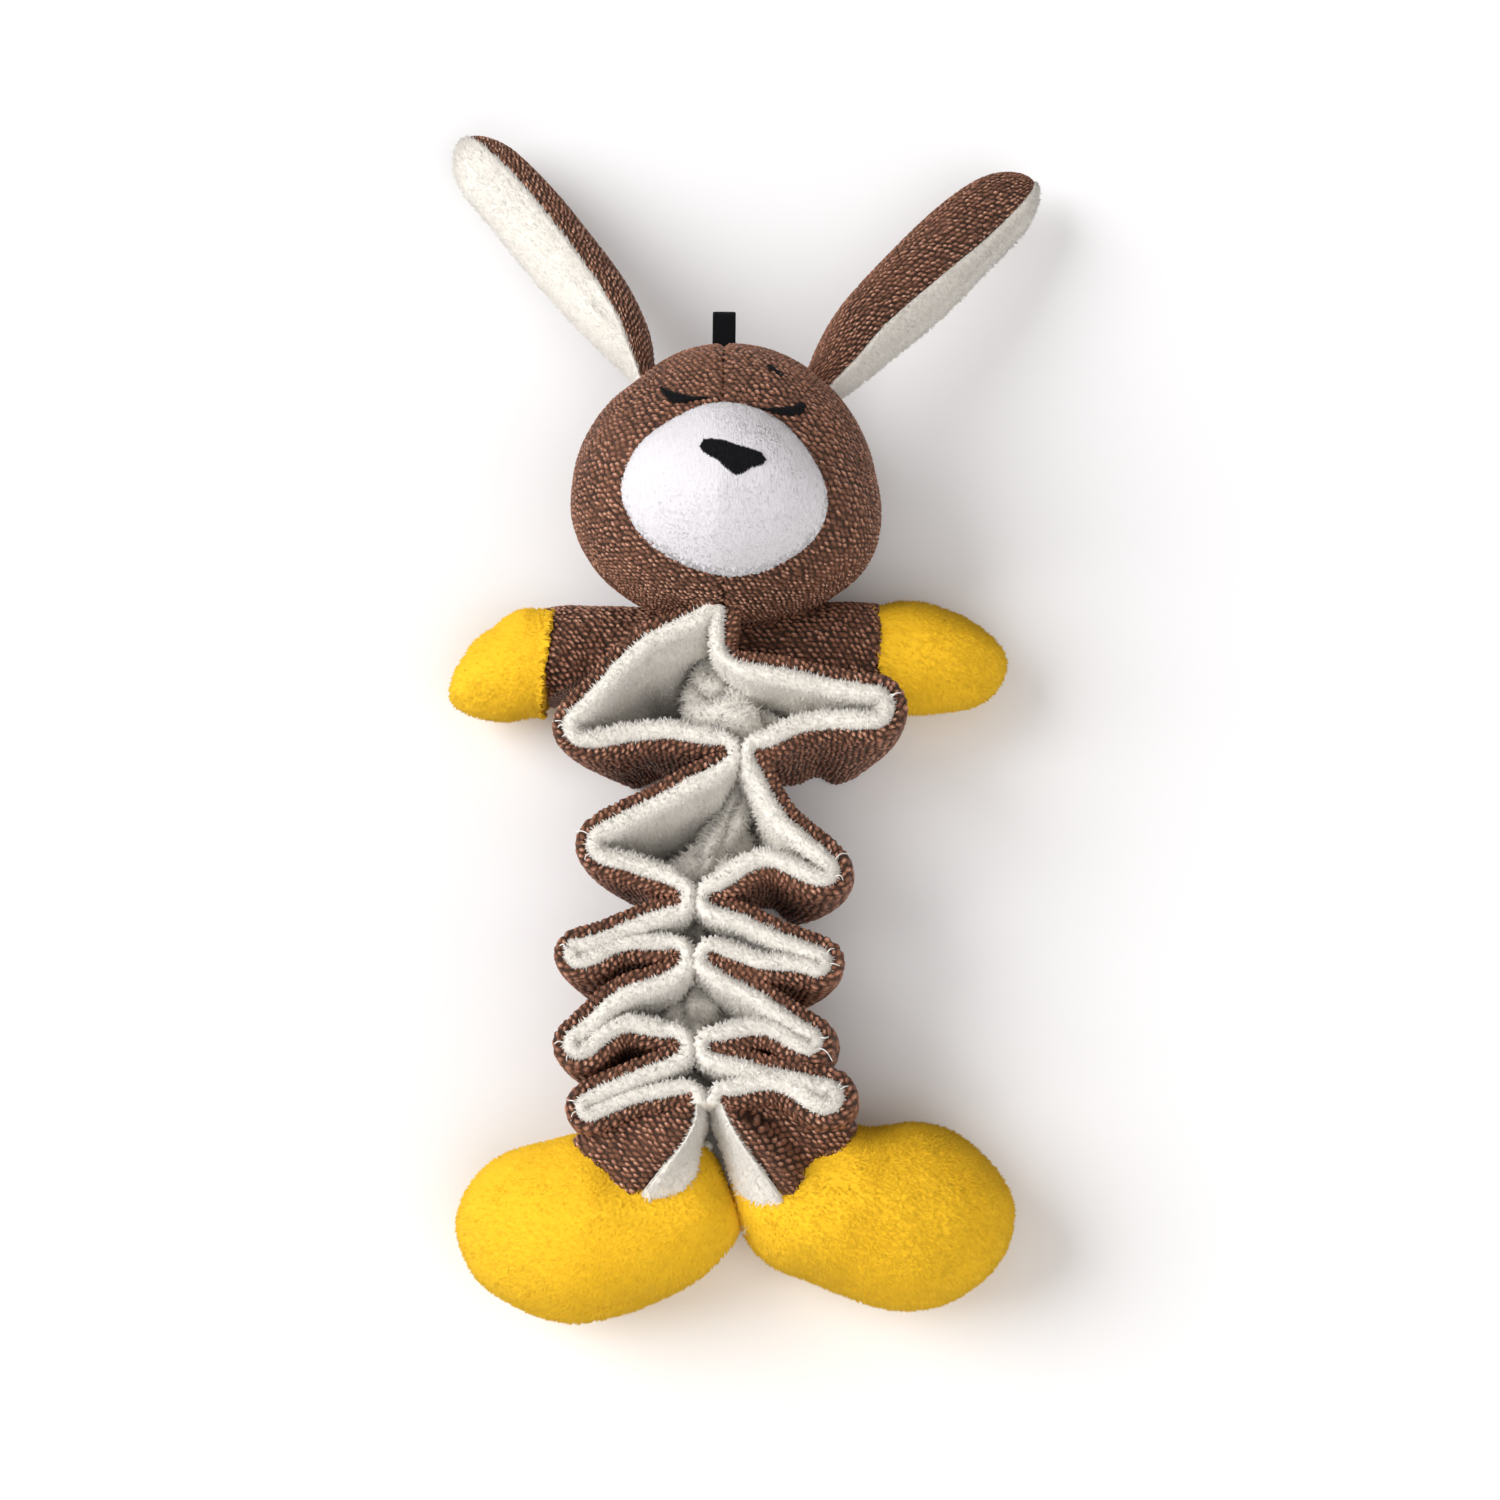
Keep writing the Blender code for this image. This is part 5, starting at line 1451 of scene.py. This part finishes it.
def band_layer(side, index, layer):
    """One layer of a band through one section: a long strip on edge with rounded rims."""
    s = sizes()
    knit = layer == "knit"
    facet = (s.knit_facet if knit else s.plush_facet) / MM
    rows = even_path(side, index, facet)
    n = len(rows) - 1
    width = s.band_width / MM - (1.0 if knit else 0.0)
    low = 0.5 if knit else 0.0
    fold_middle, fold_radius = fold_circle(side, index)
    thick = (s.knit_thickness if knit else s.plush_thickness) / MM
    rim = 11 if knit else 16
    face = round((width - thick) / (1.15 if knit else 1.55))
    foot, hidden = 5, 3
    m = rim + face + foot + hidden
    sign = SIDES[side]
    offset = index * 37.0 + (0.0 if side == "left" else 17.0)
    inner = STATION_TIP + sign * (cord_x(index) + cord_x(index + 1)) / 2
    outer = fold_middle.x + fold_radius
    tuck, bulge = fold_tucks[side][index], fold_bulges[side][index]

    def place(i, j):
        point, normal, distance, station, fold = rows[i]
        if knit:
            depth = thick + (3.0 - thick) * station
            if index == 0:
                ahead = smooth_step(distance / 24)
                depth *= 0.3 + 0.7 * ahead if side == "left" else 1.9 - 0.9 * ahead
            if side == "left":
                depth *= 1 - 0.18 * fold
        else:
            tight = min(thick, fold_radius - 0.4)
            leaf = thick if index < 2 else min(thick, fold_radius + 0.2)
            depth = leaf + (tight - leaf) * fold
            depth += (4.15 - depth) * station
        radius = depth / 2
        shown = True
        if j <= rim:
            angle = pi - pi * j / rim
            away = radius + radius * cos(angle)
            high = width - radius + radius * sin(angle)
            v = j / rim * pi * radius
        elif j <= rim + face:
            t = (j - rim) / face
            t = t * (0.5 + 0.5 * t)
            away = depth
            high = (width - radius) + (2 * radius - width) * t
            v = pi * radius + t * (width - depth)
        elif j <= rim + face + foot:
            t = (j - rim - face) / foot
            away = radius + radius * cos(pi * t)
            high = radius - radius * sin(pi * t)
            v = pi * radius + width - depth + t * pi * radius
        else:
            t = (j - rim - face - foot) / hidden
            away = 0.0
            high = radius + (width - depth) * t
            v = -5.0
            shown = False
        z = low + high
        if knit:
            out = 0.15 + away
        else:
            slim = 1 - (0.40 * station + 0.10) * exp(-((z - BAND_MIDDLE) / 9.0) ** 2)
            out = -0.15 - away * slim
        share = min(max((point.x - inner) / (outer - inner), 0.0), 1.0) ** 2
        free = (1 - 0.85 * max(station, fold * 0.7)) * (1 - 0.8 * share)
        sway = noise.noise(Vector((distance * 0.04 + offset, z * 0.02, sign * 3))) * 2.0
        sway += noise.noise(Vector((distance * 0.11 + offset, z * 0.05, sign * 5))) * 0.6
        if index < 2:
            buckle = noise.noise(Vector((distance * 0.065 + offset, z * 0.035, sign * 9)))
            sway += buckle * 6.0 * smooth_step(1.1 - z / 52.0)
        flat = point + normal * (out + sway * free)
        rest = z / width
        flat.x += share * (bulge * sin(pi * min(rest, 1.0)) - tuck * max(0.0, 1 - rest) ** 1.4)
        lean = leaf_leans[side][index][0 if normal.y > 0 else 1] * normal.y
        lean *= 1 - (0.9 if normal.y > 0 else 0.4) * share
        flat.y -= lean * (1 - station) * max(0.0, 1 - rest) ** 1.2
        z += noise.noise(Vector((distance * 0.05 + offset, 7.7, sign))) * 1.8 * max(rest - 0.3, 0)
        spot = Vector((sign * flat.x + TOY_MIDDLE[0], flat.y + TOY_MIDDLE[1], max(z, 0.2))) * MM
        return spot, (distance * MM, v * MM), shown

    bm = tube(n, m, place)
    if knit:
        cloth = bm.verts.layers.float_vector["cloth"]
        turn = Matrix.Rotation(radians(32.0), 3, "Z")
        for vertex in bm.verts:
            vertex[cloth] = turn @ vertex[cloth]
        raise_stitches(bm)
    else:
        raise_pile(bm, s.plush_pile, Vector((0, -0.2, 0.3)), seed=20 + index)
    item = dressed(f"{side}_band_{index + 1}_{layer}", bm, layer)
    follow_stretch(item, index)
    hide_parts(f"{side}_pleat_{index + 1}_{layer}")


def build_bands():
    """Knit and plush of each loop on both sides, and their tacking threads."""
    for index in range(len(section_height_shares)):
        for side in SIDES:
            for layer in ("knit", "plush"):
                band_layer(side, index, layer)
    build_tacks()


def build_tacks():
    """Loose ends of the white thread that tacks each fold, two at a fold."""
    chance = random.Random(41)
    width = sizes().band_width / MM
    steps = 12
    for index in range(len(section_height_shares)):
        bm = with_layers(bmesh.new())
        for side, sign in SIDES.items():
            fold, radius = fold_circle(side, index)
            for k in range(2):
                turn = radians(chance.uniform(-50, 50))
                root = fold + Vector((cos(turn), sin(turn))) * (radius - 1.0)
                out = Vector((cos(turn + chance.uniform(-0.7, 0.7)), sin(turn)))
                run_out = chance.uniform(3.5, 6.5)
                curl = chance.uniform(-1.6, 1.6)

                def place(i, j):
                    t = i / steps
                    spot = root + out * run_out * t
                    spot += Vector((-out.y, out.x)) * curl * sin(pi * t)
                    rise = width - 0.8 + 2.6 * sin(pi * min(t * 1.15, 1.0)) - 1.4 * t
                    angle = 2 * pi * j / 6
                    thin = 0.19 if 0 < i < steps else 0.08
                    return Vector((
                        sign * spot.x + TOY_MIDDLE[0] + thin * cos(angle),
                        spot.y + TOY_MIDDLE[1] + thin * sin(angle), rise + thin * sin(angle),
                    )) * MM, (t, 0.0), True

                add_tube(bm, steps, 6, place)
        item = dressed(f"tack_threads_{index + 1}", bm, "white_thread")
        follow_stretch(item, index)


def follow_stretch(item, index):
    """Let a piece of one section go with the stations above and below it."""
    x, y, z = TOY_MIDDLE[0] * MM, TOY_MIDDLE[1], BAND_MIDDLE * MM
    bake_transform(item, BODIES[index], BODIES[index + 1],
             start=(x, (station_y(index) + y) * MM, z),
             end=(x, (station_y(index + 1) + y) * MM, z))


def build_cord():
    """Gathered plush sleeve through the body, with the elastic in it."""
    s = sizes()
    for index in range(len(section_height_shares)):
        span = (cord_y(index) - cord_y(index + 1)) * MM
        facet = s.plush_facet
        n = max(8, round(span / facet))
        girths = cord_girths[index]
        girth = 2 * pi * max(girths) * MM
        m = max(16, round(girth / facet))

        def place(i, j):
            t = i / n
            angle = 2 * pi * j / m
            centre = cord_place(index, t)
            radius = along(girths, t)
            heave = min(1.0, 6 * t, 6 * (1 - t))
            way = Vector((cos(angle) * 0.8, sin(angle) * 0.8, t * span / (16 * MM) + index * 3))
            lump = abs(noise.noise(way)) * 2.2
            radius *= 1 + heave * (0.75 * min(lump, 0.9) - 0.32)
            spot = centre + Vector((cos(angle), 0, sin(angle))) * radius * MM
            return spot, (t, 0.0), True

        bm = tube(n, m, place)
        raise_pile(bm, s.plush_pile * 1.5, Vector((0, -0.5, 0.2)), 0.6, seed=30 + index)
        item = dressed(f"cord_gather_{index + 1}", bm, "plush")
        start, end = cord_place(index, 0), cord_place(index, 1)
        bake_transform(item, BODIES[index], BODIES[index + 1], start=tuple(start),
                 end=(start.x, end.y, start.z))
        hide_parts(f"cord_sleeve_{index + 1}")
    build_elastic()


def build_elastic():
    """Elastic in the middle of the cord, sewn down at each station, and the knot that ends it."""
    steps = 12
    for index in range(len(section_height_shares)):
        points = [cord_place(index, t / steps) for t in range(steps + 1)]

        def core(i, j):
            angle = 2 * pi * j / 8
            return points[i] + Vector((cos(angle), 0, sin(angle))) * MM, (0.0, 0.0), True

        bm = tube(steps, 8, core)
        item = dressed(f"elastic_strand_{index + 1}", bm, "elastic")
        follow_stretch(item, index)
        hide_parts("elastic_core")

    centre, half = middle_and_half("elastic_knot")
    steps = 16

    def knot(i, j):
        t = i / steps
        angle = 2 * pi * j / steps
        share = max(sin(pi * t), 0.05) * (1 + 0.12 * sin(3 * angle + 6 * t))
        return centre + Vector((half.x * 0.85 * share * cos(angle), half.y * (1 - 2 * t),
                                half.z * 0.85 * share * sin(angle))), (0.0, 0.0), True

    bm = tube(steps, steps, knot)
    item = dressed("elastic_end_knot", bm, "elastic", "section_5")
    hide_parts("elastic_knot")


# Stage

FLOOR_SIZE = 4.0
LAMP_DISTANCE = 1.5
# Name, strength, how wide the light is in degrees, and the way that it shines
lamps = (
    ("key_light", 2.80, 48.0, (0.80, -0.14, -0.58)),
    ("top_light", 0.70, 70.0, (0.10, 0.30, -0.95)),
    ("feet_light", 1.15, 70.0, (-0.34, 0.66, -0.67)),
)
SENSOR_WIDTH = 36.0
CAMERA_DISTANCE = 1.4
CAMERA_TILT = 15.0
VIEW_MIDDLE = (4.04, -10.91, 30.0)
VIEW_WIDTH = 0.54


def show_to_eye(tree, plain, seen, output):
    """Give one shader to the light, and the other to the camera, in mirrors and through glass."""
    path = tree.nodes.new("ShaderNodeLightPath")
    share = path.outputs["Is Camera Ray"]
    for ray in ("Is Glossy Ray", "Is Transmission Ray"):
        larger = tree.nodes.new("ShaderNodeMath")
        larger.operation = "MAXIMUM"
        tree.links.new(share, larger.inputs[0])
        tree.links.new(path.outputs[ray], larger.inputs[1])
        share = larger.outputs[0]
    mix = tree.nodes.new("ShaderNodeMixShader")
    tree.links.new(share, mix.inputs["Fac"])
    tree.links.new(plain.outputs[0], mix.inputs[1])
    tree.links.new(seen.outputs[0], mix.inputs[2])
    tree.links.new(mix.outputs[0], tree.nodes[output].inputs["Surface"])


def lay_floor(scene):
    """Pale floor that keeps the toy's shadow."""
    bm = bmesh.new()
    bmesh.ops.create_grid(bm, x_segments=1, y_segments=1, size=FLOOR_SIZE)
    mesh = bpy.data.meshes.new("studio_floor")
    bm.to_mesh(mesh)
    bm.free()
    floor_item = bpy.data.objects.new("studio_floor", mesh)
    scene.collection.objects.link(floor_item)
    n = Nodes("studio_floor")
    n.surface(Base_Color=rgba(hues().floor), Roughness=0.9, Specular_IOR_Level=0.0)
    lifted = n.add("ShaderNodeBsdfDiffuse", {"Color": (0.905, 0.91, 0.92, 1.0)})
    show_to_eye(n.tree, n.shader, lifted, "Material Output")
    mesh.materials.append(n.material)


def light_world(scene):
    """Faint warm light from all sides, in front of a white background."""
    world = bpy.data.worlds.new("studio_world")
    scene.world = world
    world.use_nodes = True
    tree = world.node_tree
    fill = tree.nodes["Background"]
    fill.inputs["Color"].default_value = (1.0, 0.89, 0.84, 1.0)
    fill.inputs["Strength"].default_value = 0.22
    white = tree.nodes.new("ShaderNodeBackground")
    white.inputs["Color"].default_value = (1.0, 1.0, 1.0, 1.0)
    show_to_eye(tree, fill, white, "World Output")


def set_lamps(scene):
    """Broad lamps from the left, from above and over the feet."""
    for name, strength, angle, aim in lamps:
        light = bpy.data.lights.new(name, "SUN")
        light.energy = strength
        light.angle = radians(angle)
        lamp = bpy.data.objects.new(name, light)
        scene.collection.objects.link(lamp)
        lamp.location = Vector(aim) * -LAMP_DISTANCE
        lamp.rotation_euler = Vector(aim).to_track_quat("-Z", "Y").to_euler()


def set_camera(scene):
    """Camera that looks down on the toy, a little from its feet."""
    lens = bpy.data.cameras.new("photo_camera")
    lens.sensor_width = SENSOR_WIDTH
    lens.lens = SENSOR_WIDTH * CAMERA_DISTANCE / VIEW_WIDTH
    lens.clip_start = 0.05
    lens.clip_end = 20.0
    camera = bpy.data.objects.new("photo_camera", lens)
    scene.collection.objects.link(camera)
    tilt = radians(CAMERA_TILT)
    back = Vector((0, -sin(tilt), cos(tilt)))
    camera.location = Vector(VIEW_MIDDLE) * MM + back * CAMERA_DISTANCE
    camera.rotation_euler = (tilt, 0.0, 0.0)
    scene.camera = camera


def build_stage():
    """Floor, background light, lamps and camera."""
    scene = bpy.context.scene
    scene.view_settings.view_transform = "Standard"
    lay_floor(scene)
    light_world(scene)
    set_lamps(scene)
    set_camera(scene)


# Operators and panel

class RABBIT_OT_stage(bpy.types.Operator):
    """Set the floor, the light and the camera"""
    bl_idname = "rabbit.stage"
    bl_label = "Stage"
    bl_options = {"REGISTER", "UNDO"}

    def execute(self, context):
        build_stage()
        return {"FINISHED"}


class RABBIT_OT_bands(bpy.types.Operator):
    """Lay out the pleated knit and plush bands"""
    bl_idname = "rabbit.bands"
    bl_label = "Body bands"
    bl_options = {"REGISTER", "UNDO"}

    def execute(self, context):
        build_bands()
        return {"FINISHED"}


class RABBIT_OT_cord(bpy.types.Operator):
    """Make the gathered plush sleeve and the elastic"""
    bl_idname = "rabbit.cord"
    bl_label = "Cord"
    bl_options = {"REGISTER", "UNDO"}

    def execute(self, context):
        build_cord()
        return {"FINISHED"}


class RABBIT_OT_head(bpy.types.Operator):
    """Make the three knit panels of the head"""
    bl_idname = "rabbit.head"
    bl_label = "Head"
    bl_options = {"REGISTER", "UNDO"}

    def execute(self, context):
        build_head()
        return {"FINISHED"}


class RABBIT_OT_muzzle(bpy.types.Operator):
    """Make the white muzzle"""
    bl_idname = "rabbit.muzzle"
    bl_label = "Muzzle"
    bl_options = {"REGISTER", "UNDO"}

    def execute(self, context):
        build_muzzle()
        return {"FINISHED"}


class RABBIT_OT_face(bpy.types.Operator):
    """Embroider the nose, the eyes and the brow"""
    bl_idname = "rabbit.face"
    bl_label = "Face"
    bl_options = {"REGISTER", "UNDO"}

    def execute(self, context):
        build_face()
        return {"FINISHED"}


class RABBIT_OT_loop(bpy.types.Operator):
    """Fold the webbing loop"""
    bl_idname = "rabbit.loop"
    bl_label = "Hang loop"
    bl_options = {"REGISTER", "UNDO"}

    def execute(self, context):
        build_loop()
        return {"FINISHED"}


class RABBIT_OT_filling(bpy.types.Operator):
    """Fill the head and set the squeaker in it"""
    bl_idname = "rabbit.filling"
    bl_label = "Filling"
    bl_options = {"REGISTER", "UNDO"}

    def execute(self, context):
        build_filling()
        return {"FINISHED"}


class RABBIT_OT_ears(bpy.types.Operator):
    """Make the ears and their linings"""
    bl_idname = "rabbit.ears"
    bl_label = "Ears"
    bl_options = {"REGISTER", "UNDO"}

    def execute(self, context):
        build_ears()
        return {"FINISHED"}


class RABBIT_OT_arms(bpy.types.Operator):
    """Make the arm sleeves and the hands"""
    bl_idname = "rabbit.arms"
    bl_label = "Arms"
    bl_options = {"REGISTER", "UNDO"}

    def execute(self, context):
        build_arms()
        return {"FINISHED"}


class RABBIT_OT_legs(bpy.types.Operator):
    """Make the legs"""
    bl_idname = "rabbit.legs"
    bl_label = "Legs"
    bl_options = {"REGISTER", "UNDO"}

    def execute(self, context):
        build_legs()
        return {"FINISHED"}


class RABBIT_OT_feet(bpy.types.Operator):
    """Make the feet"""
    bl_idname = "rabbit.feet"
    bl_label = "Feet"
    bl_options = {"REGISTER", "UNDO"}

    def execute(self, context):
        build_feet()
        return {"FINISHED"}


OPERATORS = (
    RABBIT_OT_stage,
    RABBIT_OT_bands,
    RABBIT_OT_cord,
    RABBIT_OT_head,
    RABBIT_OT_muzzle,
    RABBIT_OT_face,
    RABBIT_OT_loop,
    RABBIT_OT_filling,
    RABBIT_OT_ears,
    RABBIT_OT_arms,
    RABBIT_OT_legs,
    RABBIT_OT_feet,
)


class RABBIT_PT_panel(bpy.types.Panel):
    """Lists the rabbit's sizes, colours and pieces"""
    bl_idname = "RABBIT_PT_panel"
    bl_label = "Plush rabbit"
    bl_space_type = "VIEW_3D"
    bl_region_type = "UI"
    bl_category = "Rabbit"

    def draw(self, context):
        for group in (context.scene.rabbit_sizes, context.scene.rabbit_colours):
            for key in group.__annotations__:
                self.layout.prop(group, key)
        for operator in OPERATORS:
            self.layout.operator(operator.bl_idname)


CLASSES = (RabbitSizes, RabbitColours, *OPERATORS, RABBIT_PT_panel)


def register():
    """Register the classes and the toy's sizes and colours."""
    for item in CLASSES:
        bpy.utils.register_class(item)
    bpy.types.Scene.rabbit_sizes = bpy.props.PointerProperty(type=RabbitSizes)
    bpy.types.Scene.rabbit_colours = bpy.props.PointerProperty(type=RabbitColours)


def unregister():
    """Take the sizes, colours and classes away again."""
    del bpy.types.Scene.rabbit_colours
    del bpy.types.Scene.rabbit_sizes
    for item in reversed(CLASSES):
        bpy.utils.unregister_class(item)


def main():
    """Build the toy and its stage."""
    register()
    bpy.ops.rabbit.stage()
    bpy.ops.rabbit.bands()
    bpy.ops.rabbit.cord()
    bpy.ops.rabbit.head()
    bpy.ops.rabbit.muzzle()
    bpy.ops.rabbit.face()
    bpy.ops.rabbit.loop()
    bpy.ops.rabbit.filling()
    bpy.ops.rabbit.ears()
    bpy.ops.rabbit.arms()
    bpy.ops.rabbit.legs()
    bpy.ops.rabbit.feet()


if __name__ == "__main__":
    main()
